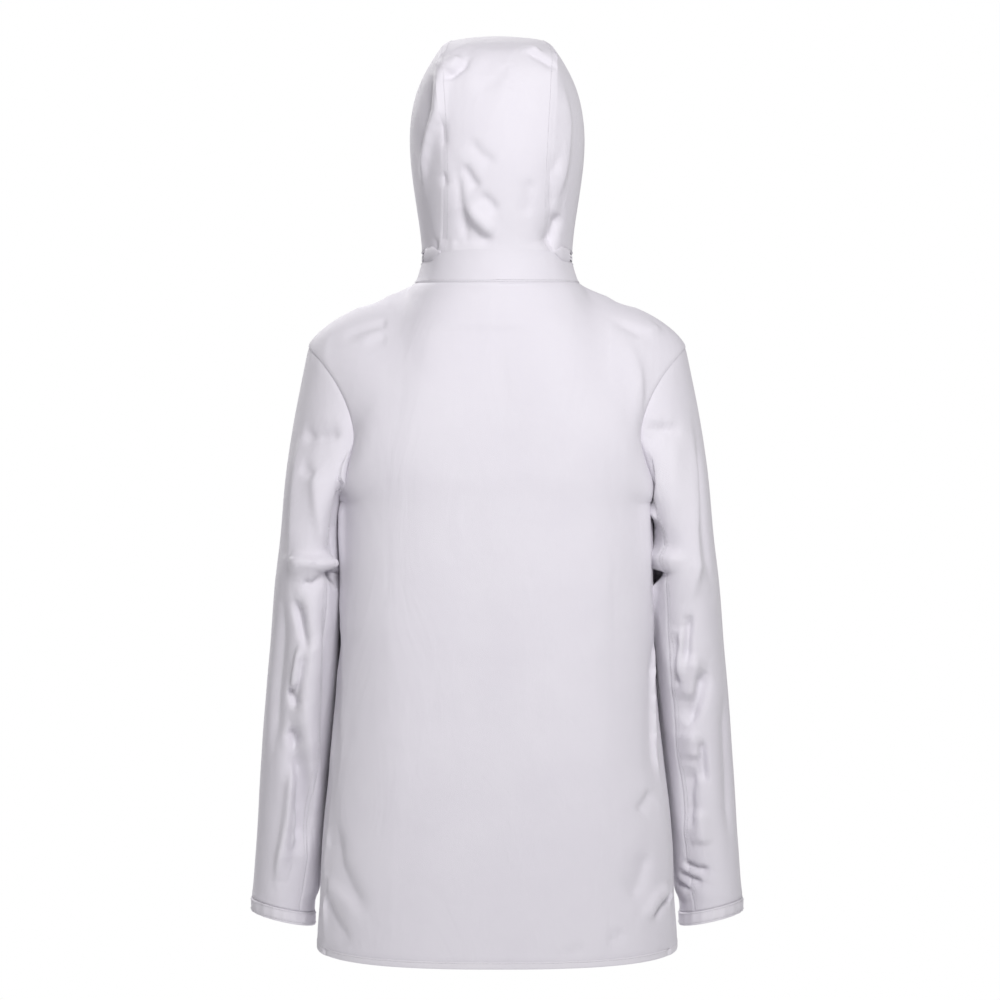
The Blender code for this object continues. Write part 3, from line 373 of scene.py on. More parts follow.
# ------------------------------------------------------------------ materials
def new_material(name, colour, roughness, metallic=0.0):
    mat = bpy.data.materials.new(name)
    mat.use_nodes = True
    shader = mat.node_tree.nodes["Principled BSDF"]
    shader.inputs["Base Color"].default_value = (*colour, 1.0)
    shader.inputs["Roughness"].default_value = roughness
    shader.inputs["Metallic"].default_value = metallic
    return mat, mat.node_tree.nodes, mat.node_tree.links, shader


def node(nodes, kind, **values):
    """A node with its sockets or settings given by name."""
    made = nodes.new(kind)
    for key, value in values.items():
        if key in made.inputs:
            made.inputs[key].default_value = value
        else:
            setattr(made, key, value)
    return made


def maths(nodes, links, operation, a, b):
    made = nodes.new("ShaderNodeMath")
    made.operation = operation
    for k, value in enumerate((a, b)):
        if isinstance(value, (int, float)):
            made.inputs[k].default_value = value
        else:
            links.new(value, made.inputs[k])
    return made.outputs[0]


def mottled(nodes, links, shader, colour, dark, scale):
    """Base colour that drifts softly between colour and dark over the cloth."""
    place = node(nodes, "ShaderNodeTexCoord")
    noise = node(nodes, "ShaderNodeTexNoise", Scale=scale, Detail=4.0, Roughness=0.6)
    links.new(place.outputs["Object"], noise.inputs["Vector"])
    ramp = nodes.new("ShaderNodeValToRGB")
    ramp.color_ramp.elements[0].position, ramp.color_ramp.elements[1].position = 0.35, 0.65
    ramp.color_ramp.elements[0].color = (*dark, 1.0)
    ramp.color_ramp.elements[1].color = (*colour, 1.0)
    links.new(noise.outputs["Fac"], ramp.inputs["Fac"])
    links.new(ramp.outputs["Color"], shader.inputs["Base Color"])
    return place, noise


def thread_waves(nodes, links, pitch, across=1.0):
    """Height of a plain weave with that pitch, from the cloth's own map in metres."""
    uv = node(nodes, "ShaderNodeUVMap", uv_map="cloth")
    split = nodes.new("ShaderNodeSeparateXYZ")
    links.new(uv.outputs["UV"], split.inputs[0])
    turns = 2 * math.pi / pitch
    warp = maths(nodes, links, "MULTIPLY", split.outputs["X"], turns)
    weft = maths(nodes, links, "MULTIPLY", split.outputs["Y"], turns * across)
    twill = maths(nodes, links, "SINE", maths(nodes, links, "ADD", warp, weft), 0.0)
    fine = maths(nodes, links, "SINE", maths(nodes, links, "MULTIPLY", warp, 2.0), 0.0)
    cross = maths(nodes, links, "SINE", maths(nodes, links, "MULTIPLY", weft, 2.0), 0.0)
    plain = maths(nodes, links, "MULTIPLY", fine, cross)
    return maths(nodes, links, "ADD", twill, maths(nodes, links, "MULTIPLY", plain, 0.5))


def cloth_material(name, colour, dark, pitch, bump, crumpled=0.0, sheen=0.25, roughness=0.82):
    mat, nodes, links, shader = new_material(name, colour, roughness)
    place, noise = mottled(nodes, links, shader, colour, dark, 9.0)
    weave = thread_waves(nodes, links, pitch)
    slub = node(nodes, "ShaderNodeTexNoise", Scale=240.0, Detail=2.0)
    links.new(place.outputs["Object"], slub.inputs["Vector"])
    height = maths(
        nodes, links, "ADD", weave, maths(nodes, links, "MULTIPLY", slub.outputs[0], 1.5)
    )
    crumple = node(nodes, "ShaderNodeTexNoise", Scale=13.0, Detail=3.0, Distortion=1.4)
    stretched = node(nodes, "ShaderNodeMapping")
    stretched.inputs["Scale"].default_value = (1.0, 1.0, 0.45)
    links.new(place.outputs["Object"], stretched.inputs["Vector"])
    links.new(stretched.outputs[0], crumple.inputs["Vector"])
    soft = node(nodes, "ShaderNodeBump", Strength=crumpled, Distance=0.006)
    links.new(crumple.outputs[0], soft.inputs["Height"])
    lift = node(nodes, "ShaderNodeBump", Strength=bump, Distance=0.0002)
    links.new(height, lift.inputs["Height"])
    links.new(soft.outputs[0], lift.inputs["Normal"])
    links.new(lift.outputs[0], shader.inputs["Normal"])
    rough = node(nodes, "ShaderNodeMapRange")
    rough.inputs["To Min"].default_value = roughness - 0.06
    rough.inputs["To Max"].default_value = roughness + 0.08
    links.new(noise.outputs[0], rough.inputs["Value"])
    links.new(rough.outputs[0], shader.inputs["Roughness"])
    shader.inputs["Sheen Weight"].default_value = sheen
    shader.inputs["Sheen Roughness"].default_value = 0.45
    return mat


def net_material(name, pitch, thread_share):
    """Knitted net: hexagon-like holes cut out by alpha, from the cloth's own map."""
    mat, nodes, links, shader = new_material(name, (0.010, 0.010, 0.012), 0.7)
    uv = node(nodes, "ShaderNodeUVMap", uv_map="cloth")
    split = nodes.new("ShaderNodeSeparateXYZ")
    links.new(uv.outputs["UV"], split.inputs[0])
    turns = math.pi / pitch
    u = maths(nodes, links, "MULTIPLY", split.outputs["X"], turns)
    v = maths(nodes, links, "MULTIPLY", split.outputs["Y"], turns * 1.15)
    a = maths(nodes, links, "SINE", maths(nodes, links, "ADD", u, v), 0.0)
    b = maths(nodes, links, "SINE", maths(nodes, links, "SUBTRACT", u, v), 0.0)
    near = maths(
        nodes, links, "MINIMUM",
        maths(nodes, links, "ABSOLUTE", a, 0.0), maths(nodes, links, "ABSOLUTE", b, 0.0),
    )
    thread = maths(nodes, links, "LESS_THAN", near, thread_share)
    links.new(thread, shader.inputs["Alpha"])
    shader.inputs["Sheen Weight"].default_value = 0.3
    return mat


def moulded_material(name, colour, roughness):
    """Moulded plastic with a faint grain."""
    mat, nodes, links, shader = new_material(name, colour, roughness)
    place, _ = mottled(nodes, links, shader, colour, tuple(c * 0.94 for c in colour), 60.0)
    grain = node(nodes, "ShaderNodeTexNoise", Scale=900.0, Detail=2.0)
    links.new(place.outputs["Object"], grain.inputs["Vector"])
    lift = node(nodes, "ShaderNodeBump", Strength=0.15, Distance=0.0001)
    links.new(grain.outputs[0], lift.inputs["Height"])
    links.new(lift.outputs[0], shader.inputs["Normal"])
    return mat


def metal_material(name):
    """Plated zip metal with fine scratches and duller patches."""
    mat, nodes, links, shader = new_material(name, (0.62, 0.62, 0.64), 0.28, 1.0)
    place, _ = mottled(nodes, links, shader, (0.66, 0.66, 0.68), (0.50, 0.50, 0.52), 300.0)
    scratch = node(nodes, "ShaderNodeTexNoise", Scale=1200.0, Detail=3.0, Distortion=1.5)
    links.new(place.outputs["Object"], scratch.inputs["Vector"])
    rough = node(nodes, "ShaderNodeMapRange")
    rough.inputs["To Min"].default_value, rough.inputs["To Max"].default_value = 0.18, 0.42
    links.new(scratch.outputs[0], rough.inputs["Value"])
    links.new(rough.outputs[0], shader.inputs["Roughness"])
    return mat


def fuzz_material(name, colour, scale):
    """Hook or loop pad: a deep fuzzy nap."""
    mat, nodes, links, shader = new_material(name, colour, 0.95)
    place, _ = mottled(nodes, links, shader, colour, tuple(c * 0.8 for c in colour), 350.0)
    nap = node(nodes, "ShaderNodeTexVoronoi", Scale=scale)
    links.new(place.outputs["Object"], nap.inputs["Vector"])
    lift = node(nodes, "ShaderNodeBump", Strength=0.8, Distance=0.0006)
    links.new(nap.outputs["Distance"], lift.inputs["Height"])
    links.new(lift.outputs[0], shader.inputs["Normal"])
    shader.inputs["Sheen Weight"].default_value = 0.6
    return mat


LILAC_WHITE, LILAC_DARK = (0.745, 0.725, 0.775), (0.725, 0.703, 0.757)
MATERIALS = {
    "cloth": cloth_material("jacket_cloth", LILAC_WHITE, LILAC_DARK, 0.0011, 0.35, 0.35),
    "binding": cloth_material(
        "folded_binding", (0.77, 0.75, 0.79), (0.74, 0.72, 0.77), 0.0007, 0.3
    ),
    "tape": cloth_material("woven_tape", (0.72, 0.70, 0.75), (0.69, 0.67, 0.72), 0.0016, 0.6),
    "elastic": cloth_material("knit_elastic", (0.70, 0.68, 0.73), (0.64, 0.62, 0.67), 0.0022, 1.0),
    "thread": fuzz_material("sewing_thread", (0.80, 0.78, 0.83), 2500.0),
    "net": net_material("veil_net", 0.0016, 0.42),
    "teeth": moulded_material("moulded_teeth", (0.78, 0.77, 0.80), 0.38),
    "boning": moulded_material("boning_strip", (0.76, 0.75, 0.78), 0.45),
    "metal": metal_material("zip_metal"),
    "pad": fuzz_material("hook_and_loop", (0.66, 0.65, 0.70), 900.0),
}


# ------------------------------------------------------------------ meshes
def make_piece(name, verts, faces, finish, body=None, uvs=None, smooth=True):
    """A shown mesh with its material and slot, riding on a body when one is given."""
    mesh = bpy.data.meshes.new(name)
    mesh.from_pydata([tuple(v) for v in verts], [], faces)
    mesh.materials.append(MATERIALS[finish])
    if smooth:
        mesh.shade_smooth()
    if uvs is not None:
        layer = mesh.uv_layers.new(name="cloth")
        flat = np.array([uvs[v] for face in faces for v in face], float)
        layer.data.foreach_set("uv", flat.ravel())
    obj = bpy.data.objects.new(name, mesh)
    bpy.context.scene.collection.objects.link(obj)
    if body is not None:
        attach(obj, body)
    return obj


def grid_faces(count_rows, count_columns, ring=False):
    around = count_columns if ring else count_columns - 1
    faces = []
    for j in range(count_rows - 1):
        for i in range(around):
            a, b = j * count_columns + i, j * count_columns + (i + 1) % count_columns
            faces.append((a, b, b + count_columns, a + count_columns))
    return faces


def grid_uvs(grid):
    """The cloth's own map in metres: arc length along each row and down each column."""
    across = np.zeros(grid.shape[:2])
    along = np.zeros(grid.shape[:2])
    across[:, 1:] = np.cumsum(np.linalg.norm(np.diff(grid, axis=1), axis=2), axis=1)
    along[1:] = np.cumsum(np.linalg.norm(np.diff(grid, axis=0), axis=2), axis=0)
    across -= across[:, [across.shape[1] // 2]]
    return np.stack([across, along], axis=2).reshape(-1, 2)


def grid_normals(grid, outside):
    """Normals of a grid of points, turned so that they point away from outside's far side."""
    du, dv = np.gradient(grid, axis=1), np.gradient(grid, axis=0)
    n = np.cross(du, dv)
    n /= np.maximum(np.linalg.norm(n, axis=2, keepdims=True), 1e-12)
    if (n * (grid - outside)).sum() < 0:
        n = -n
    return n


def finer(name):
    return next(k for part, k in FINER.items() if part in name.replace("hood_panel", "hood"))


def finer_line(rows, k):
    """k times as many points along the first axis of an array, on a smooth line through them."""
    padded = np.concatenate([[2 * rows[0] - rows[1]], rows, [2 * rows[-1] - rows[-2]]])
    p0, p1, p2, p3 = padded[:-3], padded[1:-2], padded[2:-1], padded[3:]
    made = []
    for f in [i / k for i in range(k)]:
        made.append(
            0.5
            * (
                2 * p1
                + (p2 - p0) * f
                + (2 * p0 - 5 * p1 + 4 * p2 - p3) * f * f
                + (3 * p1 - p0 - 3 * p2 + p3) * f**3
            )
        )
    line = np.stack(made, axis=1).reshape(-1, *rows.shape[1:])
    return np.concatenate([line, rows[-1:]])


def finer_grid(grid, k):
    return finer_line(finer_line(grid, k).swapaxes(0, 1), k).swapaxes(0, 1)


def foot_fill(rest):
    """Rounds the corner in which the collar stands on the shoulders, except at the front zip."""
    foot = KDTree(181)
    for k in range(181):
        foot.insert(neck_point(math.radians(2 * k)), k)
    foot.balance()
    flat = rest.reshape(-1, 3)
    away = np.array(
        [foot.find(p)[2] if p[2] > -0.12 else 1.0 for p in flat]
    ).reshape(rest.shape[:2])
    x, y = rest[:, :, 0], rest[:, :, 1]
    fill = 0.24 * (np.hypot(away, 0.014) - away) * np.clip(1 - away / 0.05, 0, 1)
    fill *= np.where(y < 0, np.clip((np.abs(x) - 0.035) / 0.03, 0, 1), 1.0)
    round_ = np.maximum(np.hypot(x, y), 1e-6)
    return np.stack([x / round_ * fill, y / round_ * fill, fill], axis=2) * math.sqrt(0.5)


def neck_fill(rest):
    """Rounds the waist between collar and hood, where they are sewn together at the back."""
    x, y, z = (rest[:, :, k] for k in range(3))
    above = (z - RING_Z) * math.cos(RING_TILT) - y * math.sin(RING_TILT)
    angle = np.abs(np.arctan2(x, y))
    sewn = np.clip((math.radians(66) - angle) / math.radians(22), 0, 1)
    fill = 0.24 * (np.hypot(above, 0.016) - np.abs(above)) * sewn * sewn * (3 - 2 * sewn)
    return np.stack(
        [np.sin(angle) * np.sign(x) * fill, np.cos(angle) * fill, np.zeros_like(fill)], axis=2
    )


class Garment:
    """Panels that are sewn together: one set of shared points, and each panel's grid of them."""

    def __init__(self):
        self.raw, self.grids, self.order = [], {}, []

    def add(self, name, rows):
        start = len(self.raw)
        self.raw += [p for row in rows for p in row]
        self.grids[name] = np.arange(start, len(self.raw)).reshape(len(rows), len(rows[0]))
        self.order.append(name)

    def sew(self):
        """Points of neighbours that meet become one."""
        tree = KDTree(len(self.raw))
        for k, p in enumerate(self.raw):
            tree.insert(p, k)
        tree.balance()
        owner, kept = {}, []
        for k, p in enumerate(self.raw):
            if k in owner:
                continue
            for _, j, _ in tree.find_range(p, 2e-5):
                owner.setdefault(j, len(kept))
            kept.append(p)
        to_kept = np.array([owner[k] for k in range(len(self.raw))])
        self.grids = {name: to_kept[g] for name, g in self.grids.items()}
        self.rest = np.array([tuple(p) for p in kept], float)
        self.now = self.rest.copy()
        self.quads = self._quads()

    def _quads(self):
        quads = []
        for g in self.grids.values():
            corners = [g[:-1, :-1], g[:-1, 1:], g[1:, 1:], g[1:, :-1]]
            quads.append(np.stack(corners, axis=2).reshape(-1, 4))
        quads = np.concatenate(quads)
        a, b, c, d = (self.rest[quads[:, k]] for k in range(4))
        middle, n = (a + b + c + d) / 4, np.cross(c - a, d - b)
        inwards = self.inside(middle) - middle
        flip = (n * inwards).sum(1) > 0
        quads[flip] = quads[flip][:, ::-1]
        return quads

    def inside(self, points):
        """A point well inside the tube that each point belongs to."""
        return points * np.array([0.0, 0.0, 1.0])

    def normals(self, points=None):
        p = self.now if points is None else points
        a, b, c, d = (p[self.quads[:, k]] for k in range(4))
        n, total = np.cross(c - a, d - b), np.zeros_like(p)
        for k in range(4):
            np.add.at(total, self.quads[:, k], n)
        return total / np.maximum(np.linalg.norm(total, axis=1, keepdims=True), 1e-12)

    def smoothed(self, field, times):
        """A field on the points, averaged with its neighbours'."""
        edges = np.concatenate([self.quads[:, [k, (k + 1) % 4]] for k in range(4)])
        for _ in range(times):
            total, count = np.zeros_like(field), np.zeros(len(field))
            for a, b in ((0, 1), (1, 0)):
                np.add.at(total, edges[:, a], field[edges[:, b]])
                np.add.at(count, edges[:, a], 1)
            mean = total / (count[:, None] if field.ndim == 2 else count)
            field = 0.5 * field + 0.5 * mean
        return field

    def drape(self, pinned, growth, form_gap, cap, frames, gravity, bending):
        """A short cloth simulation over an inner form; no point moves further than cap."""
        creased = self.now.copy()
        mesh = bpy.data.meshes.new("drape")
        mesh.from_pydata(creased.tolist(), [], self.quads.tolist())
        cloth = bpy.data.objects.new("drape", mesh)
        form_mesh = bpy.data.meshes.new("form")
        inner = creased - self.normals(creased) * form_gap[:, None]
        form_mesh.from_pydata(inner.tolist(), [], self.quads.tolist())
        form = bpy.data.objects.new("form", form_mesh)
        for obj in (cloth, form):
            bpy.context.scene.collection.objects.link(obj)
        form.modifiers.new("Collision", "COLLISION")
        form.collision.thickness_outer = 0.002
        form.collision.cloth_friction = 12
        pin = cloth.vertex_groups.new(name="pin")
        grow = cloth.vertex_groups.new(name="grow")
        for k in range(len(self.rest)):
            pin.add([k], float(pinned[k]), "REPLACE")
            grow.add([k], float(growth[k]), "REPLACE")
        settings = cloth.modifiers.new("Cloth", "CLOTH").settings
        settings.quality, settings.mass = 6, 0.12
        settings.tension_stiffness = settings.compression_stiffness = 12
        settings.shear_stiffness, settings.bending_stiffness = 4, bending
        settings.vertex_group_mass, settings.vertex_group_shrink = "pin", "grow"
        settings.shrink_min, settings.shrink_max = 0.0, -0.06
        settings.effector_weights.gravity = gravity
        collisions = cloth.modifiers["Cloth"].collision_settings
        collisions.use_self_collision, collisions.distance_min = False, 0.002
        cloth.modifiers["Cloth"].point_cache.frame_end = frames
        scene = bpy.context.scene
        for f in range(1, frames + 1):
            scene.frame_set(f)
        done = cloth.evaluated_get(bpy.context.evaluated_depsgraph_get())
        moved = np.array([v.co for v in done.data.vertices], float)
        scene.frame_set(1)
        for obj in (cloth, form):
            bpy.data.objects.remove(obj)
        shift = moved - creased
        length = np.linalg.norm(shift, axis=1)
        keep = cap * np.tanh(length / np.maximum(cap, 1e-6)) / np.maximum(length, 1e-9)
        self.now = creased + self.smoothed(shift * keep[:, None], 8)

    def push(self, height):
        """Moves the cloth out along its normals."""
        self.now = self.now + self.normals() * height[:, None]

    def refine(self, detail):
        """Finer grids of the draped panels, with the sharp creases that detail gives them."""
        coarse_normals = self.normals()
        self.fine, self.fine_normals, self.finer = {}, {}, {}
        for name, index in self.grids.items():
            k = finer(name)
            grid, rest = finer_grid(self.now[index], k), finer_grid(self.rest[index], k)
            out = finer_grid(coarse_normals[index], k)
            out /= np.linalg.norm(out, axis=2, keepdims=True)
            grid = grid + out * detail(name, rest)[:, :, None] + neck_fill(rest) + foot_fill(rest)
            n = np.cross(np.gradient(grid, axis=1), np.gradient(grid, axis=0))
            n /= np.maximum(np.linalg.norm(n, axis=2, keepdims=True), 1e-12)
            if (n * out).sum() < 0:
                n = -n
            n[0], n[-1], n[:, 0], n[:, -1] = out[0], out[-1], out[:, 0], out[:, -1]
            self.fine[name], self.fine_normals[name], self.finer[name] = grid, n, k

    def grid(self, name):
        return self.fine[name]

    def grid_normals(self, name):
        return self.fine_normals[name]

    def rest_area(self, name):
        g = self.rest[self.grids[name]]
        a, b, c, d = g[:-1, :-1], g[:-1, 1:], g[1:, 1:], g[1:, :-1]
        return float(np.linalg.norm(np.cross(c - a, d - b), axis=2).sum() / 2)


# ------------------------------------------------------------------ creases
LEE = 2.2  # a fold's slope is this much gentler on one side than on the other


def crease(across, up, path, depth, width, taper=0.0):
    """Height of one crease along a path; across and up are the cloth's own metres.

    A plus depth is a ridge and a minus depth a hollow. It fades at both ends, or with a taper it is
    deepest at its start, as where cloth is pinched.
    """
    lengths = [math.dist(p, q) for p, q in zip(path, path[1:])]
    whole, done = sum(lengths), 0.0
    best, along, lee = np.full_like(up, 1e9), np.zeros_like(up), np.zeros(up.shape, bool)
    for (ax, az), (bx, bz), length in zip(path, path[1:], lengths):
        ux, uz = (bx - ax) / length, (bz - az) / length
        t = np.clip((across - ax) * ux + (up - az) * uz, 0, length)
        d = np.hypot(across - ax - ux * t, up - az - uz * t)
        along = np.where(d < best, (done + t) / whole, along)
        lee = np.where(d < best, (across - ax) * uz - (up - az) * ux < 0, lee)
        best = np.minimum(d, best)
        done += length
    if taper:
        ends = np.clip(1 - along, 0, 1) ** taper
        width = width * (0.55 + 0.45 * (1 - along))
    else:
        ends = np.clip(np.sin(np.pi * np.clip(along, 0.03, 0.97)) * 1.5, 0, 1)
    return depth * ends * np.exp(-((best / (width * np.where(lee, LEE, 1.0))) ** 1.5))


def creases(folds, across, up, to_across):
    """All of a list's creases: each a path of (mm sideways, mm up) as seen, depth, width."""
    total = np.zeros_like(up)
    for seen, depth, width, *taper in folds:
        path = [(to_across(x / 1000, z / 1000), z / 1000) for x, z in seen]
        total += crease(across, up, path, depth / 1000, width / 1000, *taper)
    return total


# ------------------------------------------------------------------ the jacket's cloth
def build_jacket():
    garment = Garment()
    us = steps(0, 1, HALF_COLUMNS)
    vs = steps(-1, 0, LOWER_ROWS) + steps(0, 1, ARM_CELLS)[1:]
    rows = []
    for v in vs:
        half = [torso(u, v, True) for u in us]
        rows.append([mirror(p, RIGHT) for p in half[:0:-1]] + half)
    garment.add("back_panel", rows)
    for name, side in SIDES.items():
        rows = [[mirror(torso(u, v, False), side) for u in us] for v in vs]
        garment.add(f"{name}_front_panel", rows)
    quarter = HALF_COLUMNS // 2
    seam = [math.pi * k / HALF_COLUMNS for k in range(quarter + 1)]
    ring = seam + [front_turn(1 - k / quarter, RING_R) for k in range(1, quarter + 1)]
    seam = seam + [front_turn(1 - k / quarter, NECK_WIDTH) for k in range(1, quarter + 1)]
    low = [mirror(neck_point(a), RIGHT) for a in seam[:0:-1]] + [neck_point(a) for a in seam]
    high = []
    for a in [-a for a in ring[:0:-1]] + ring:
        sewn = math.pi - ZIP_HALF_ANGLE - math.radians(7)
        drop = ZIP_CLEAR * smoothstep((abs(a) - sewn) / math.radians(7))
        high.append(ring_point(a, RING_R, -drop))
    rows = [[lerp(p, q, t) for p, q in zip(low, high)] for t in steps(0, 1, COLLAR_ROWS)]
    garment.add("collar", rows)
    ts = steps(-1, 0, CAP_ROWS) + steps(0, len(SLEEVE) - 1, TUBE_ROWS)[1:]
    turn = math.pi / ARM_CELLS
    cut = [ARM_CELLS * 7 // 10, ARM_CELLS * 13 // 10]
    for name, side in SIDES.items():
        rings = [[mirror(sleeve(t, turn * i), side) for i in range(2 * ARM_CELLS)] for t in ts]
        outer = [*range(cut[1], 2 * ARM_CELLS), *range(cut[0] + 1)]
        garment.add(f"{name}_outer_sleeve", [[r[i] for i in outer] for r in rings])
        garment.add(f"{name}_under_sleeve", [r[cut[0] : cut[1] + 1] for r in rings])
    garment.inside = jacket_inside
    garment.sew()
    body = sleeve_points(garment) == 0
    for _ in range(40):  # the chest runs into the waist without a line
        p = garment.rest
        share = np.exp(-(((p[:, 2] - UNDERARM) / 0.04) ** 2)) * np.clip(
            (0.150 - np.abs(p[:, 0])) / 0.03, 0, 1
        )
        share *= body * np.clip((np.abs(p[:, 0]) - FRONT_EDGE) / 0.02 + (p[:, 1] > 0), 0, 1)
        share += (1 - body) * np.exp(-(((p[:, 2] + 0.262) / 0.035) ** 2)) * (np.abs(p[:, 0]) > 0.18)
        garment.rest = lerp(p, garment.smoothed(p, 1), share[:, None])
    # no lines where the torso's measures change, nor down from the neck's sides
    for _ in range(24):
        p = garment.rest
        share = 0.5 * np.clip((p[:, 2] + 0.70) / 0.04, 0, 1) * np.clip(
            (-0.10 - p[:, 2]) / 0.05, 0, 1
        )
        yoke = np.exp(
            -(((np.abs(p[:, 0]) - 0.100) / 0.035) ** 2)
        ) * np.clip((p[:, 2] + 0.20) / 0.06, 0, 1)
        yoke *= np.clip((-0.004 - p[:, 2]) / 0.012, 0, 1) * (p[:, 1] > 0)
        share = np.maximum(share, yoke) * body * np.clip((0.165 - np.abs(p[:, 0])) / 0.03, 0, 1)
        share *= np.clip((np.abs(p[:, 0]) - FRONT_EDGE) / 0.03 + (p[:, 1] > 0), 0, 1)
        garment.rest = lerp(p, garment.smoothed(p, 1), share[:, None])
    garment.now = garment.rest.copy()
    return garment


def sleeve_middle(z):
    """Middle of the sleeve at height z, for +X; above the first ring it stays there."""
    heights = np.array([-r[2] for r in SLEEVE])
    return [np.interp(-z, heights, [r[k] for r in SLEEVE]) for k in (0, 1)]


def on_sleeve(points):
    """True for points beyond the armhole, on a sleeve."""
    edge = np.interp(
        points[:, 2], [-0.235, -0.19, -0.1475, -0.09, -0.06], [0.171, 0.166, 0.156, 0.172, 0.207]
    )
    return (np.abs(points[:, 0]) > edge + 1e-4) & (points[:, 2] < -0.058)


def jacket_inside(points):
    x, y = sleeve_middle(points[:, 2])
    arm = on_sleeve(points) & (np.abs(points[:, 0]) > 0.1708)
    middle = points * np.array([0.0, 0.0, 1.0])
    middle[arm, 0] = np.sign(points[arm, 0]) * x[arm]
    middle[arm, 1] = y[arm]
    return middle


def sleeve_points(garment):
    """Which sewn points belong to a sleeve, told by the panels and not by where they are."""
    which = np.zeros(len(garment.rest))
    for name, side in SIDES.items():
        for part in ("outer", "under"):
            which[garment.grids[f"{name}_{part}_sleeve"].ravel()] = side
    return which


def drape_jacket(garment):
    p = garment.rest
    arm = sleeve_points(garment)
    collar = np.zeros(len(p), bool)
    collar[garment.grids["collar"].ravel()] = True
    front = (p[:, 1] < -0.02) & (arm == 0)
    from_zip = np.where(front, np.abs(p[:, 0]) - FRONT_EDGE, 1.0)
    pinned = np.where(collar, 1.0, 0.0)
    pinned = np.maximum(pinned, np.clip(1 - from_zip / 0.012, 0, 1))
    cuff = (arm != 0) & (p[:, 2] < -0.672)
    pinned[cuff] = 1.0
    shoulder = np.clip((p[:, 2] + 0.05) / 0.04, 0, 1) * (arm == 0)
    pinned = np.maximum(pinned, 0.6 * shoulder)
    growth = np.where(arm != 0, 0.8, 0.12)
    growth[collar] = 0.0
    growth = np.where(from_zip < 0.05, growth * 0.4, growth)
    gap = np.where(arm != 0, 0.0035, 0.0040)
    gap[collar] = 0.003
    cap = np.where(arm != 0, 0.0055, 0.0050)
    cap = np.minimum(cap, 0.0010 + 0.07 * np.clip(from_zip, 0, None))
    cap[cuff] = 0.0005
    cap[collar] = 0.0004
    edge = np.clip((p[:, 2] - np.min(p[:, 2])) / 0.05, 0.3, 1)
    cap = np.where(arm == 0, cap * edge, cap)
    frames = 22
    garment.drape(pinned, growth, gap, cap, frames, 0.4, 1.0)


def oval_arc(half, deep, power):
    """Arc length round a quarter oval against its angle, from the side to the back."""
    angle = np.linspace(0, math.pi / 2, 200)
    x, y = half * np.cos(angle) ** (2 / power), deep * np.sin(angle) ** (2 / power)
    return angle, np.concatenate([[0], np.cumsum(np.hypot(np.diff(x), np.diff(y)))])


def jacket_creases(p, arm, collar):
    """Height of the creases that a worn jacket keeps; arm is plus or minus 1 on a sleeve."""
    height = np.zeros(len(p))
    z = p[:, 2]
    middle_x, middle_y = sleeve_middle(z)
    angles, arcs = oval_arc(0.0352, 0.064, 2.0)

    def round_sleeve(angle):
        turned = np.abs(angle)
        return np.sign(angle) * np.where(
            turned <= math.pi / 2, np.interp(turned, angles, arcs),
            2 * arcs[-1] - np.interp(math.pi - turned, angles, arcs)
        )

    def seen_on_sleeve(x, z):
        reach = (abs(x) - float(sleeve_middle(z)[0])) / 0.0352
        return float(round_sleeve(np.array(math.acos(min(max(reach, -0.98), 0.98)))))

    heights = [-r[2] for r in SLEEVE]
    deep = np.interp(-z, heights, [r[4] for r in SLEEVE])
    wide = np.interp(-z, heights, [r[3] for r in SLEEVE])
    for side in (LEFT, RIGHT):
        angle = np.arctan2((p[:, 1] - middle_y) / deep, (side * p[:, 0] - middle_x) / wide)
        around = round_sleeve(angle)
        here = arm == side
        for folds, sign in ((SLEEVE_FOLDS[side], 1), (SLEEVE_FRONT_FOLDS, -1)):
            height += np.where(here, creases(folds, sign * around, z, seen_on_sleeve), 0)
    turn = 0.12

    def round_body(x, y):
        return np.sign(x) * (
            np.minimum(np.abs(x), turn) + np.hypot(
                np.maximum(np.abs(x) - turn, 0), np.where(np.abs(x) > turn, 0.104 - y, 0)
            )
        )

    def seen_on_body(x, z):
        half, deep = table(TORSO, z)
        half = max(half, abs(x) + 0.001)
        y = deep * (1 - (abs(x) / half) ** ROUNDNESS) ** (1 / ROUNDNESS)
        return float(round_body(np.array(x), np.array(y)))

    for folds, sign in ((BACK_FOLDS, 1), (FRONT_FOLDS, -1)):
        here = (arm == 0) & (sign * p[:, 1] > 0)
        across = round_body(p[:, 0], sign * p[:, 1])
        height += np.where(here, creases(folds, across, z, seen_on_body), 0)
    side, hole = near_seams(p)
    height *= hole * np.where(arm == 0, side, 1.0)
    height[collar] = 0
    near_neck = np.hypot(p[:, 0] / 0.125, p[:, 1] / 0.12) < 1
    height[near_neck & (z > -0.045)] *= 0.3
    still = (arm != 0) & (z < -0.66)
    height[still] *= np.clip((z[still] + 0.684) / 0.024, 0, 1)
    front = (p[:, 1] < -0.02) & (arm == 0)
    return np.where(front, height * np.clip((np.abs(p[:, 0]) - 0.03) / 0.03, 0, 1), height)


def near_seams(p):
    """0 on the armhole, shoulder and side seams, rising to 1 away from them."""
    share = np.clip(np.abs(p[:, 1]) / 0.02, 0, 1) ** 0.7
    share = np.where(np.abs(p[:, 0]) > 0.176, 1.0, share)
    seam = KDTree(121)
    for k in range(121):
        seam.insert(armhole(2 * math.pi * k / 120), k)
    seam.balance()
    away = np.array([seam.find((abs(x), y, z))[2] if z > -0.3 else 1.0 for x, y, z in p])
    return share, np.clip(away / 0.022, 0, 1)


def crease_jacket(garment):
    collar = np.zeros(len(garment.rest), bool)
    collar[garment.grids["collar"].ravel()] = True
    garment.push(BROAD * jacket_creases(garment.rest, sleeve_points(garment), collar))


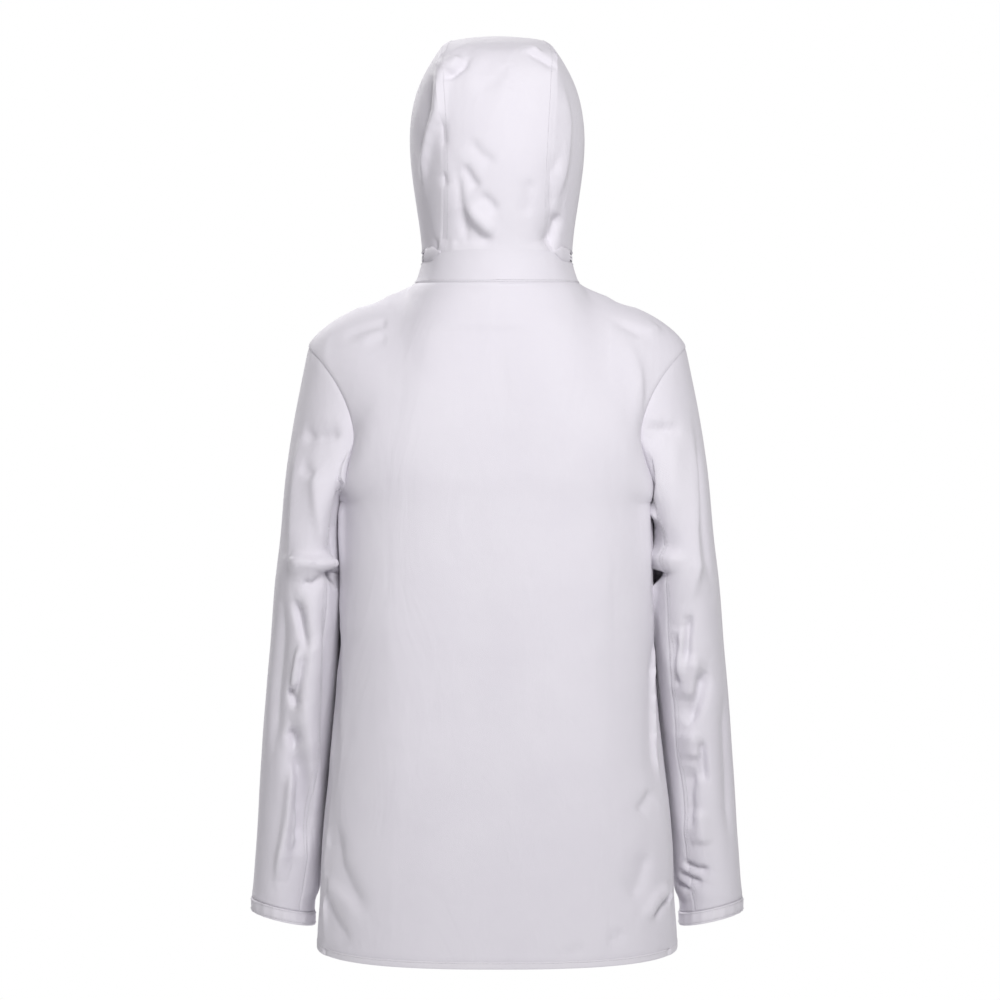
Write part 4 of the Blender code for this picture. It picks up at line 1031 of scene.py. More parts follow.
def jacket_detail(name, rest):
    points = rest.reshape(-1, 3)
    side = RIGHT if name.startswith("right") else LEFT
    arm = np.full(len(points), side if "sleeve" in name else 0)
    sharp = jacket_creases(points, arm, np.full(len(points), name == "collar"))
    return (SLEEVE_SHARP if "sleeve" in name else SHARP) * sharp.reshape(rest.shape[:2])


# shares of the creases laid in before and after draping
BROAD, SHARP, SLEEVE_SHARP = 0.5, 1.35, 1.8
# creases as (path of millimetres to the side and up, as seen from behind, depth, width, taper)
# The points of SLEEVE_FOLDS, BACK_FOLDS and HOOD_FOLDS were picked by eye on the photo and
# turned into mm by a scratch script, nearly all of them; report.md says so.
SLEEVE_FOLDS = {
    LEFT: [
        ([(178, -310), (188, -309), (200, -308), (216, -303)], -10, 4.5, 1.4),
        ([(180, -300), (206, -298), (228, -293)], 7, 6),
        ([(195, -314), (206, -321), (217, -318)], -3, 3.5),
        ([(210, -321), (208, -383), (214, -432), (216, -470), (211, -524), (207, -589)], 5.5, 8),
        ([(226, -338), (218, -370), (210, -396)], -4.5, 4),
        ([(219, -387), (224, -414), (228, -442)], 3.2, 3),
        ([(215, -394), (219, -421), (224, -448)], -2.6, 2.6),
        ([(233, -435), (224, -459)], -4, 3.5),
        ([(234, -481), (226, -504)], -4.5, 4.5),
        ([(230, -494), (220, -540), (222, -589), (230, -627)], -7, 8),
        ([(228, -513), (234, -578), (243, -632), (245, -656)], 4.5, 4.5),
        ([(226, -569), (229, -616)], 2.6, 2.4),
        ([(218, -156), (202, -161), (178, -158)], -2.8, 4.5),
        ([(217, -195), (198, -203)], -1.8, 4),
        ([(181, -33), (184, -65), (188, -85)], 3.6, 4),
        ([(176, -53), (175, -146), (180, -232), (184, -340)], -2.6, 9),
        ([(221, -157), (227, -232), (229, -297)], 2.5, 6),
        ([(200, -184), (199, -243), (195, -292)], 2.5, 6),
        ([(235, -329), (243, -427), (249, -513)], -3, 9),
        ([(194, -340), (195, -448), (200, -535)], -3.5, 7),
    ],
    RIGHT: [
        ([(-162, -315), (-180, -311), (-205, -309)], -10, 4.8, 1.3),
        ([(-164, -298), (-189, -293), (-214, -297)], 4.5, 9),
        ([(-216, -151), (-219, -232), (-220, -299), (-213, -349)], 3.2, 6),
        ([(-227, -157), (-231, -254), (-234, -329)], -2.5, 8),
        ([(-151, -147), (-176, -148), (-198, -151)], -3.2, 3.6),
        ([(-165, -157), (-185, -163)], -1.8, 7),
        ([(-159, -215), (-162, -238), (-160, -265)], -5.5, 6),
        ([(-172, -217), (-184, -253)], 3.2, 4),
        ([(-215, -353), (-212, -414)], -3.5, 3.2),
        ([(-202, -373), (-200, -400), (-205, -437)], -3.2, 3.2),
        ([(-207, -367), (-206, -432)], 3, 4.5),
        ([(-234, -416), (-226, -448), (-212, -480)], -5.5, 5.5),
        ([(-220, -396), (-216, -455)], 3.5, 6.5),
        ([(-219, -481), (-224, -517)], 3.5, 6.5),
        ([(-229, -491), (-233, -543)], -4, 3.6),
        ([(-221, -522), (-216, -556), (-219, -597)], -3.5, 6.5),
        ([(-226, -569), (-232, -612)], 3, 7),
        ([(-210, -631), (-224, -636), (-239, -637)], -3, 2.6),
        ([(-205, -643), (-218, -649), (-232, -652)], -3, 2.6),
        ([(-203, -654), (-217, -663)], -2.4, 2.4),
        ([(-179, -316), (-177, -392)], 3.4, 5),
        ([(-189, -157), (-193, -232), (-189, -284)], 2.2, 12),
        ([(-249, -437), (-256, -535), (-259, -610)], -2.5, 8),
    ],
}
SLEEVE_FRONT_FOLDS = [  # both sleeves, as seen from the front
    ([(176, -308), (192, -306), (212, -300)], -8, 4.5, 1.3),
    ([(178, -296), (196, -294), (220, -288)], 4.5, 7),
    ([(180, -322), (198, -330), (216, -326)], -3.5, 4),
    ([(176, -345), (190, -362), (212, -374)], -5, 5),
    ([(182, -372), (200, -392), (224, -398)], 4, 6),
    ([(188, -120), (192, -170), (180, -230)], -3, 7),
    ([(204, -100), (210, -160), (206, -230)], 2.5, 9),
    ([(222, -330), (228, -400), (226, -470)], -4, 6),
    ([(206, -410), (212, -480), (220, -550)], 4, 7),
    ([(236, -470), (230, -530), (238, -600)], -4.5, 6),
    ([(214, -540), (222, -590), (232, -630)], -3.5, 5),
    ([(208, -636), (224, -640), (240, -644)], -3, 2.8),
    ([(206, -650), (222, -655), (234, -660)], -2.6, 2.6),
]
BACK_FOLDS = [
    ([(166, -51), (153, -38), (136, -24)], -1.8, 4.5),
    ([(159, -55), (144, -40), (131, -31)], 1.1, 4),
    ([(153, -59), (140, -48), (125, -37)], -1.1, 4),
    ([(170, -49), (166, -124), (166, -232), (168, -340)], 3.5, 6),
    ([(189, -647), (164, -673), (146, -692)], 2.2, 7),
    ([(176, -583), (171, -632), (158, -660), (138, -683)], -3.2, 10),
    ([(189, -662), (177, -690), (157, -715)], -2.6, 7),
    ([(-171, -40), (-163, -49)], 2, 4),
    ([(-157, -36), (-161, -51)], -2, 3),
    ([(-150, -43), (-148, -103), (-148, -151), (-156, -200), (-160, -275), (-165, -362)], 3.2, 6),
    ([(-154, -690), (-171, -666), (-187, -656)], 3.5, 4.5),
    ([(-165, -692), (-178, -676), (-191, -663)], -3.5, 3),
    ([(-148, -575), (-168, -551)], -2.6, 5),
    ([(-163, -616), (-154, -648), (-141, -670)], -3, 8),
    ([(180, -383), (183, -470), (180, -556)], -1.8, 12),
    ([(-171, -383), (-167, -470), (-172, -556)], -2.6, 10),
    ([(-122, -713), (-133, -697)], -1.6, 4),
    ([(-68, -724), (-95, -713)], -1.2, 5),
    ([(83, -59), (29, -49), (-46, -53)], -1.0, 14),
    ([(126, -297), (105, -448), (110, -599)], 1.6, 26),
    ([(-111, -254), (-100, -427), (-118, -589)], 1.6, 26),
    ([(29, -211), (18, -383), (29, -556)], -1.2, 28),
]
FRONT_FOLDS = [
    ([(166, -60), (150, -100), (140, -150), (142, -220)], 3.5, 8),
    ([(-166, -60), (-150, -100), (-140, -150), (-142, -220)], 3.5, 8),
    ([(158, -80), (128, -120), (112, -175)], -1.5, 11),
    ([(-158, -80), (-128, -120), (-112, -175)], -1.6, 11),
    ([(165, -240), (150, -262), (128, -270)], -1.7, 10),
    ([(-165, -240), (-148, -266), (-124, -280)], -1.8, 10),
    ([(162, -330), (158, -400), (166, -480)], 3, 9),
    ([(-162, -320), (-158, -400), (-166, -490)], 3, 9),
    ([(182, -640), (160, -668), (146, -700)], -3.5, 7),
    ([(-182, -640), (-160, -668), (-146, -700)], -3.5, 7),
    ([(90, -250), (84, -310), (92, -370)], 1.5, 14),
    ([(-90, -240), (-82, -310), (-92, -370)], 1.5, 14),
    ([(60, -630), (52, -660), (56, -700)], 1.4, 10),
    ([(-60, -630), (-50, -660), (-58, -700)], 1.4, 10),
]


# ------------------------------------------------------------------ the hood's cloth
def build_hood():
    garment = Garment()
    back = steps(0, HOOD_CORNER, HOOD_ROWS)
    crown = steps(HOOD_CORNER, HOOD_FACE, HOOD_SIDE_CELLS)[1:]
    brim = steps(HOOD_FACE, 10.0, BRIM_CELLS)[1:]
    us = steps(-1, 1, STRIP_CELLS)
    garment.add("hood_centre_panel", [[hood_strip(u, t) for u in us] for t in back + crown + brim])
    vs = steps(0, 1, HOOD_ROWS)
    for name, side in SIDES.items():
        rows = [[mirror(hood_side(u, v), side) for u in steps(0, 1, HOOD_SIDE_CELLS)] for v in vs]
        for i, u in enumerate(steps(0, 1, HOOD_SIDE_CELLS)):
            lift = ZIP_CLEAR * smoothstep(u * 5)
            rows[0][i] = ring_point(side * math.radians(lerp(45, 120, u)), RING_R, lift)
        garment.add(f"{name}_hood_panel", rows)
    across = steps(0, 1, VEIL_CELLS)
    rows = [[veil(t, v) for t in across] for v in vs]
    rows[0] = [ring_point(math.radians(lerp(120, 240, t)), RING_R, ZIP_CLEAR) for t in across]
    split = round(BIB_TOP * HOOD_ROWS)
    garment.add("veil_bib", rows[: split + 1])
    garment.add("veil_net", rows[split:])
    garment.inside = lambda points: np.broadcast_to([0.0, -0.03, 0.13], points.shape)
    garment.sew()
    return garment


def drape_hood(garment):
    p = garment.rest
    ring_height = (p[:, 2] - RING_Z) * math.cos(RING_TILT) - p[:, 1] * math.sin(RING_TILT)
    pinned = np.clip(1 - (ring_height - ZIP_CLEAR) / 0.012, 0, 1)
    face = np.zeros(len(p))
    for name in ("veil_bib", "veil_net"):
        face[garment.grids[name].ravel()] = 1
    brim = garment.grids["hood_centre_panel"][-BRIM_CELLS - 1 :]
    face[brim.ravel()] = 1
    for name in SIDES:
        face[garment.grids[f"{name}_hood_panel"][:, -3:].ravel()] = 1
    pinned = np.maximum(pinned, face)
    growth = np.where(face > 0, 0.0, 0.40)
    cap = np.where(face > 0, 0.0002, 0.005) * np.clip(ring_height / 0.03, 0.02, 1)
    gap = np.full(len(p), 0.004)
    frames = 20
    garment.drape(pinned, growth, gap, cap, frames, 0.4, 1.2)


HOOD_FOLDS = [
    ([(42, 249), (43, 235), (52, 226), (62, 220)], -3.0, 2.8),
    ([(52, 248), (54, 237), (57, 228)], 3.5, 6),
    ([(-46, 254), (-59, 246), (-67, 235)], -2.5, 2.8),
    ([(-56, 261), (-56, 252)], 3, 6),
    ([(31, 157), (18, 140), (1, 130)], -1.8, 5),
    ([(39, 130), (29, 113), (21, 102)], -3.0, 4.5),
    ([(38, 89), (30, 77), (18, 68), (4, 53)], 3.6, 7),
    ([(42, 86), (39, 64), (24, 52), (4, 48)], -3.6, 8),
    ([(21, 98), (8, 89), (-1, 78)], -2.4, 4.5),
    ([(-39, 116), (-40, 72)], -1.6, 5),
    ([(-79, 81), (-76, 56), (-68, 38)], -4.5, 8),
    ([(-55, 40), (-68, 33), (-79, 31)], 2.5, 5),
    ([(82, 51), (79, 16)], -3.2, 3),
    ([(75, 53), (72, 18)], 2.5, 3),
    ([(68, 44), (65, 14)], -3.2, 2.8),
    ([(62, 51), (60, 23)], 2.2, 3),
    ([(55, 46), (54, 14)], -3.0, 2.6),
    ([(62, 252), (62, 187), (71, 167), (79, 138), (85, 107)], 4.0, 6),
    ([(72, 230), (77, 180), (86, 137)], -4.0, 8),
    ([(-73, 221), (-77, 178), (-75, 135), (-70, 92)], 2.5, 7),
    ([(45, 130), (44, 92), (45, 42)], -2.0, 3),
    ([(57, 178), (55, 146)], -1.8, 3),
    ([(59, 122), (57, 105)], -1.8, 3),
    ([(29, 243), (-3, 227), (29, 205)], -1.6, 9),
    ([(-68, 146), (-60, 119), (-68, 76)], -1.8, 6),
]


def hood_creases(p):
    radius = 0.092
    angle = np.arctan2(p[:, 0], p[:, 1] - 0.02)

    def seen(x, z):
        return radius * math.asin(min(max(x / radius, -1), 1))

    height = creases(HOOD_FOLDS, radius * angle, p[:, 2], seen)
    ring_height = (p[:, 2] - RING_Z) * math.cos(RING_TILT) - p[:, 1] * math.sin(RING_TILT)
    face = np.clip((p[:, 1] + 0.075) / 0.02, 0, 1)  # nothing near the face edge and the brim
    return height * np.clip((ring_height - 0.001) / 0.008, 0, 1) * face


def crease_hood(garment):
    garment.push(BROAD * hood_creases(garment.rest))


def hood_detail(name, rest):
    if "veil" in name:
        return np.zeros(rest.shape[:2])
    return SHARP * hood_creases(rest.reshape(-1, 3)).reshape(rest.shape[:2])


# ------------------------------------------------------------------ panels that show
def show_panel(garment, name, body, finish="cloth", thick=SHEET):
    """A panel's own sheet: edges dipped into the seams, smoothed, given thickness."""
    grid, normals = garment.grid(name).copy(), garment.grid_normals(name)
    k = garment.finer[name]
    rows, columns = grid.shape[:2]
    r, c = np.arange(rows)[:, None], np.arange(columns)[None, :]
    from_edge = np.minimum(np.minimum(r, rows - 1 - r), np.minimum(c, columns - 1 - c)) / k
    dip = np.clip(1 - from_edge / 0.45, 0, 1) ** 1.5
    along = np.minimum(np.minimum(c, columns - 1 - c) / k, 1.0)
    if name == "collar":  # no groove where the hood is sewn on at the back
        sewn = np.abs(c - (columns - 1) / 2) <= SEWN_CELLS * k
        dip = np.where(sewn & (r > rows - 3 * k), 0, dip)
        dip = np.where(r < k, 0.5 * dip, dip)
    elif name == "hood_centre_panel":
        dip = np.where((r < 3 * k), dip * (1 - along), dip)
    elif name.endswith("hood_panel"):
        dip = np.where((r < 3 * k) & (c <= 5 * k) & (c > 0.5 * k), 0, dip)
    grid -= normals * (dip * SEAM_DIP)[:, :, None]
    faces = grid_faces(rows, columns)
    verts = grid.reshape(-1, 3)
    a, b, c, d = (verts[list(faces[len(faces) // 2])[k]] for k in range(4))
    if np.dot(np.cross(c - a, d - b), normals.reshape(-1, 3)[faces[len(faces) // 2][0]]) < 0:
        faces = [f[::-1] for f in faces]
    rest = finer_grid(garment.rest[garment.grids[name]], k)
    obj = make_piece(f"{name}_sheet", verts, faces, finish, uvs=grid_uvs(rest))
    solid = obj.modifiers.new("thickness", "SOLIDIFY")
    solid.thickness, solid.offset = thick, -1
    bake(obj, 60)
    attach(obj, body)
    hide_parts(name)
    return obj


def bake(obj, sharp):
    """The modifiers' result becomes the mesh; edges over sharp degrees stay crisp."""
    mesh = bpy.data.meshes.new_from_object(obj.evaluated_get(bpy.context.evaluated_depsgraph_get()))
    obj.modifiers.clear()
    obj.data = mesh
    mesh.set_sharp_from_angle(angle=math.radians(sharp))


class Stitching:
    """Runs of small stitches, gathered into one mesh for each body."""

    def __init__(self):
        self.verts, self.faces = {}, {}

    def run(self, body, points, normals, pitch=0.0034, thick=THREAD, lift=0.00015):
        points, normals = np.asarray(points, float), np.asarray(normals, float)
        gone = np.concatenate([[0], np.cumsum(np.linalg.norm(np.diff(points, axis=0), axis=1))])
        count = int(gone[-1] / pitch)
        if count < 1:
            return
        verts, faces = self.verts.setdefault(body, []), self.faces.setdefault(body, [])

        def at(s):
            p = np.array([np.interp(s, gone, points[:, k]) for k in range(3)])
            n = np.array([np.interp(s, gone, normals[:, k]) for k in range(3)])
            return p, n / np.linalg.norm(n)

        for k in range(count):
            start, n0 = at((k + 0.12) * pitch)
            end, n1 = at((k + 0.88) * pitch)
            along = end - start
            length = np.linalg.norm(along)
            if length < 1e-6:
                continue
            side = np.cross(along / length, n0)
            first = len(verts)
            nm = (n0 + n1) / 2
            verts.append(start - n0 * thick * 0.4)
            for share, n in ((0.25, n0), (0.75, n1)):
                centre = start + along * share + nm * lift
                verts.append(centre + n * thick)
                verts.append(centre + side * thick * 0.8)
                verts.append(centre - n * thick * 0.5)
                verts.append(centre - side * thick * 0.8)
            verts.append(end - n1 * thick * 0.4)
            for i in range(4):
                j = (i + 1) % 4
                faces.append((first, first + 1 + j, first + 1 + i))
                faces.append((first + 1 + i, first + 1 + j, first + 5 + j, first + 5 + i))
                faces.append((first + 9, first + 5 + i, first + 5 + j))

    def finish(self):
        for body, verts in self.verts.items():
            make_piece(f"{body}_stitching", verts, self.faces[body], "thread", body)


def grid_line(grid, normals, row=None, column=None, k=1):
    """A line across a grid at a row or column that needn't be whole, counted in coarse cells."""
    axis, place = (0, row * k) if row is not None else (1, column * k)
    size = grid.shape[axis]
    place = place % size if place >= 0 else size - 1 + place
    k = min(int(place), size - 2)
    f = place - k
    take = (lambda g, i: g[i]) if axis == 0 else (lambda g, i: g[:, i])
    return lerp(take(grid, k), take(grid, k + 1), f), lerp(
        take(normals, k), take(normals, k + 1), f
    )


# ------------------------------------------------------------------ bands, pockets and tabs
def folded_band(name, path, outs, downs, height, thick, body, finish, ring, node_name):
    """A folded band along a path: rounded below, a little pillowed between stitches."""
    path, outs, downs = (np.asarray(a, float) for a in (path, outs, downs))
    profile = []
    for t in np.linspace(0, 1, 7):
        swell = 0.5 * thick + 0.00035 * math.sin(math.pi * min(t * 1.15, 1))
        profile.append((swell, t * (height - thick / 2)))
    for a in np.linspace(0, math.pi, 6)[1:-1]:
        profile.append((thick / 2 * math.cos(a), height - thick / 2 + thick / 2 * math.sin(a)))
    for t in np.linspace(1, 0, 5):
        profile.append((-0.5 * thick, t * (height - thick / 2)))
    rows = [path + outs * out + downs * down for out, down in profile]
    grid = np.stack(rows + [rows[0]], axis=0)
    count = grid.shape[1]
    faces = grid_faces(len(rows) + 1, count, ring)
    verts = grid.reshape(-1, 3)
    if not ring:
        ends = [tuple(k * count for k in range(len(rows)))]
        ends.append(tuple(k * count + count - 1 for k in reversed(range(len(rows)))))
        faces += ends
    obj = make_piece(name, verts, faces, finish, body, uvs=grid_uvs(grid))
    merge_near(obj)
    if node_name:
        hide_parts(node_name)
    return obj


def merge_near(obj, distance=1e-5):
    """Joins doubled points and turns every face outwards."""
    import bmesh

    mesh = bmesh.new()
    mesh.from_mesh(obj.data)
    bmesh.ops.remove_doubles(mesh, verts=mesh.verts, dist=distance)
    bmesh.ops.recalc_face_normals(mesh, faces=mesh.faces)
    mesh.to_mesh(obj.data)
    mesh.free()


def sampled(grid, normals, us, vs):
    """Points and normals of a grid at shares us across and vs up, each from 0 to 1."""
    rows, columns = grid.shape[:2]
    r = np.clip(np.asarray(vs) * (rows - 1), 0, rows - 1 - 1e-9)
    c = np.clip(np.asarray(us) * (columns - 1), 0, columns - 1 - 1e-9)
    ri, ci = r.astype(int), c.astype(int)
    rf, cf = (r - ri)[:, None, None], (c - ci)[None, :, None]

    def mix(field):
        a, b = field[ri][:, ci], field[ri][:, ci + 1]
        d, e = field[ri + 1][:, ci], field[ri + 1][:, ci + 1]
        return (a * (1 - cf) + b * cf) * (1 - rf) + (d * (1 - cf) + e * cf) * rf

    n = mix(normals)
    return mix(grid), n / np.linalg.norm(n, axis=2, keepdims=True)


def row_share(v):
    """Share of the way up the body's grid for v, which is -1 at the hem, 1 at the neck."""
    row = (v + 1) * LOWER_ROWS if v <= 0 else LOWER_ROWS + v * ARM_CELLS
    return row / (LOWER_ROWS + ARM_CELLS)


def patch(name, grid, normals, us, vs, lift, thick, finish, body, cells=(24, 24), pillow=0.0006):
    """A layer lying on a grid of cloth, with a rolled edge and a soft pillow in its middle."""
    a, b = np.linspace(*us, cells[0] + 1), np.linspace(*vs, cells[1] + 1)
    points, outs = sampled(grid, normals, a, b)
    s, t = np.linspace(0, 1, cells[0] + 1), np.linspace(0, 1, cells[1] + 1)
    edge = np.minimum(np.minimum(s, 1 - s)[None, :], np.minimum(t, 1 - t)[:, None])
    shape = 1 - np.clip(1 - edge / 0.10, 0, 1) ** 2
    top = points + outs * (lift + thick + pillow * shape)[:, :, None]
    under = points + outs * lift
    count = top.shape[0] * top.shape[1]
    faces = grid_faces(*top.shape[:2])
    verts = np.concatenate([top.reshape(-1, 3), under.reshape(-1, 3)])
    faces += [tuple(i + count for i in f[::-1]) for f in faces]
    rim = rim_of(*top.shape[:2])
    for i, j in zip(rim, rim[1:] + rim[:1]):
        faces.append((j, i, i + count, j + count))
    uvs = np.concatenate([grid_uvs(points)] * 2)
    obj = make_piece(name, verts, faces, finish, body, uvs=uvs)
    merge_near(obj, 1e-7)
    bevel = obj.modifiers.new("rolled edge", "BEVEL")
    bevel.width, bevel.segments, bevel.angle_limit = thick * 0.35, 2, math.radians(50)
    return obj, top, outs


def rim_of(rows, columns):
    """The rim of a grid, as indices in order."""
    rim = list(range(columns)) + [r * columns + columns - 1 for r in range(1, rows)]
    rim += [(rows - 1) * columns + c for c in range(columns - 2, -1, -1)]
    return rim + [r * columns for r in range(rows - 2, 0, -1)]


def stitch_round(stitching, body, top, outs, inset, sides="lrbt"):
    """Stitches a little inside the edges of a patch; sides are left, right, bottom and top."""
    rows, columns = top.shape[:2]
    width = np.linalg.norm(top[0, -1] - top[0, 0])
    height = np.linalg.norm(top[-1, 0] - top[0, 0])
    c, r = inset / width * (columns - 1), inset / height * (rows - 1)
    lines = {
        "l": {"column": c}, "r": {"column": -c - 1e-9}, "b": {"row": r}, "t": {"row": -r - 1e-9}
    }
    for key in sides:
        line, out = grid_line(top, outs, **lines[key])
        stitching.run(body, line[1:-1], out[1:-1])


def pocket(stitching, jacket, name, side, us, vs, flap_us, flap_vs):
    """A patch pocket, its loop pad, and on the flap's own body the flap and its hook pad."""
    panel = f"{side}_front_panel"
    grid, normals = jacket.grid(panel), jacket.grid_normals(panel)

    def place(v):
        return tuple(row_share(x) for x in v)

    lift = 0.0002
    bag, top, outs = patch(
        f"{name}_pocket_bag", grid, normals, us, place(vs), lift, CLOTH, "cloth", "jacket"
    )
    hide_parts(f"{name}_pocket")
    for inset in (0.0022, 0.0085):
        stitch_round(stitching, "jacket", top, outs, inset, "lrb")
    for inset in (0.002, 0.020):
        stitch_round(stitching, "jacket", top, outs, inset, "t")
    pad_us = (lerp(*us, 0.36), lerp(*us, 0.64))
    pad_vs = place((lerp(*flap_vs, 0.12), lerp(*flap_vs, 0.36)))
    flap_lift = 0.0062
    loop, _, _ = patch(
        f"{name}_loop_tape", grid, normals, pad_us, pad_vs, 0.0030, 0.0009, "pad", "jacket",
        (8, 5), 0
    )
    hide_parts(f"{name}_loop_pad")
    body = f"{name}_flap"
    hook, _, _ = patch(
        f"{name}_hook_tape", grid, normals, pad_us, pad_vs, flap_lift - 0.0011, 0.0009, "pad",
        body, (8, 5), 0
    )
    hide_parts(f"{name}_hook_pad")
    flap, top, outs = patch(
        f"{name}_flap_cloth", grid, normals, flap_us, place(flap_vs), flap_lift, CLOTH, "cloth",
        body, (24, 12), 0.0004
    )
    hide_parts(body)
    for inset in (0.0022, 0.0075):
        stitch_round(stitching, body, top, outs, inset, "lrb")
    stitch_round(stitching, body, top, outs, 0.0035, "t")


# ------------------------------------------------------------------ zips
def tooth_row(name, places, body, node_name, lean):
    """A row of moulded teeth. places holds each tooth's middle and its axes: along, across, out."""
    verts, faces = [], []
    half_l, reach, root, thick = 0.00085, 0.0012, 0.0011, 0.00105
    outline = [
        (-half_l, -root), (half_l, -root), (half_l * 0.62, 0.0), (half_l * 0.95, reach * 0.75)
    ]
    outline += [(half_l * 0.55, reach), (-half_l * 0.55, reach), (-half_l * 0.95, reach * 0.75)]
    outline += [(-half_l * 0.62, 0.0)]
    count = len(outline)
    for middle, along, across, out in places:
        first = len(verts)
        for height, shrink in (
            (-thick, 0.82), (-thick * 0.7, 1.0), (thick * 0.7, 1.0), (thick, 0.82)
        ):
            for x, y in outline:
                verts.append(
                    middle + along * x * shrink + across * y * shrink * lean + out * height
                )
        faces.append(tuple(first + i for i in reversed(range(count))))
        faces.append(tuple(first + 3 * count + i for i in range(count)))
        for k in range(3):
            for i in range(count):
                j = (i + 1) % count
                a = first + k * count
                faces.append((a + i, a + j, a + count + j, a + count + i))
    obj = make_piece(name, verts, faces, "teeth", body, smooth=False)
    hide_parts(node_name)
    merge_near(obj, 1e-7)
    return obj


TOOTH_PITCH = 0.0028


def front_axes():
    down = (FRONT_FOOT - FRONT_TOP).normalized()
    side = Vector((1, 0, 0))
    return down, side, -side.cross(down).normalized()


def front_teeth():
    down, side, out = front_axes()
    length = (FRONT_FOOT - FRONT_TOP).length
    for name, s in SIDES.items():
        places = []
        start = 0.0135 + (TOOTH_PITCH / 2 if s == RIGHT else 0)
        for k in range(int((length - start - 0.001) / TOOTH_PITCH)):
            along_zip = down * (start + k * TOOTH_PITCH)
            middle = FRONT_TOP + along_zip + side * s * 0.00165 - out * CLOTH / 2
            places.append((middle, down, side * -s, out))
        tooth_row(f"{name}_front_teeth", places, "jacket", f"{name}_front_zip_teeth", 1)


def neck_teeth():
    start, end = math.pi - ZIP_HALF_ANGLE + 0.02, math.pi - math.radians(1.2)
    radius = RING_R - CLOTH / 2
    step = TOOTH_PITCH / radius

    def frames(first, last, sign, offset):
        places = []
        for k in range(int(abs(last - first) / step)):
            a = first + math.copysign((k + 0.5 + offset) * step, last - first)
            out = (ring_point(a, 2 * radius) - ring_point(a, radius)).normalized()
            up = (ring_point(a, radius, 1.0) - ring_point(a, radius)).normalized()
            places.append((ring_point(a, radius, sign * 0.00165), up.cross(out), up * -sign, out))
        return places

    tooth_row("left_collar_teeth", frames(start, end, -1, 0), "jacket", "left_collar_zip_teeth", 1)
    places = frames(2 * math.pi - start, 2 * math.pi - end, -1, 0)
    tooth_row("right_collar_teeth", places, "jacket", "right_collar_zip_teeth", 1)
    places = frames(start, math.pi, 1, 0.5) + frames(2 * math.pi - start, math.pi, 1, 0.5)
    tooth_row("hood_teeth", places, "hood", "hood_zip_teeth", 1)


def zip_garages(stitching):
    """A facing that widens from the seam and covers each end of the neck zip."""
    for name, side in SIDES.items():
        turns = np.linspace(45.5, 70.5, 26)
        rows = []
        for t in np.linspace(-1, 1, 13):
            row = []
            for a in turns:
                open_ = smoothstep((a - 45) / 13)
                reach = 0.0012 + 0.0068 * open_
                fill = 0.24 * 0.016 * smoothstep((66 - a) / 22)
                bulge = (0.0003 + 0.0014 * open_) * (1 - abs(t) ** 2.5)
                row.append(
                    tuple(ring_point(side * math.radians(a), RING_R + fill + bulge, t * reach))
                )
            rows.append(row)
        grid = np.array(rows)
        n = np.cross(np.gradient(grid, axis=1), np.gradient(grid, axis=0))
        n /= np.linalg.norm(n, axis=2, keepdims=True)
        if n[6, 12, 1] < 0:
            n = -n
        _, top, outs = patch(
            f"{name}_zip_garage", grid, n, (0, 1), (0, 1), -0.0004, 0.0008, "cloth", "jacket",
            (26, 12), 0.0002
        )
        stitch_round(stitching, "jacket", top, outs, 0.0016, "r")


def softened(node_name, finish, width, segments=3):
    """The CAD node's own shape with its edges rounded, in its place."""
    cad = frame["nodes"][node_name]
    mesh = cad.data.copy()
    mesh.materials.clear()
    mesh.materials.append(MATERIALS[finish])
    obj = bpy.data.objects.new(f"{node_name}_shaped", mesh)
    bpy.context.scene.collection.objects.link(obj)
    merge_near(obj)
    planar = obj.modifiers.new("flat faces", "DECIMATE")
    planar.decimate_type, planar.angle_limit = "DISSOLVE", math.radians(1)
    bevel = obj.modifiers.new("rounded", "BEVEL")
    bevel.width, bevel.segments, bevel.angle_limit = width, segments, math.radians(35)
    for face in mesh.polygons:
        face.use_smooth = True
    obj.modifiers.new("even shading", "WEIGHTED_NORMAL").keep_sharp = True
    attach(obj, cad["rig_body"])
    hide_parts(node_name)
    return obj


def world_uvs(obj):
    """The cloth map for a piece that was not made from a grid: metres across and up."""
    mesh = obj.data
    layer = mesh.uv_layers.get("cloth") or mesh.uv_layers.new(name="cloth")
    for loop in mesh.loops:
        p = mesh.vertices[loop.vertex_index].co
        layer.data[loop.index].uv = (math.atan2(p.x, p.y) * RING_R, p.z)


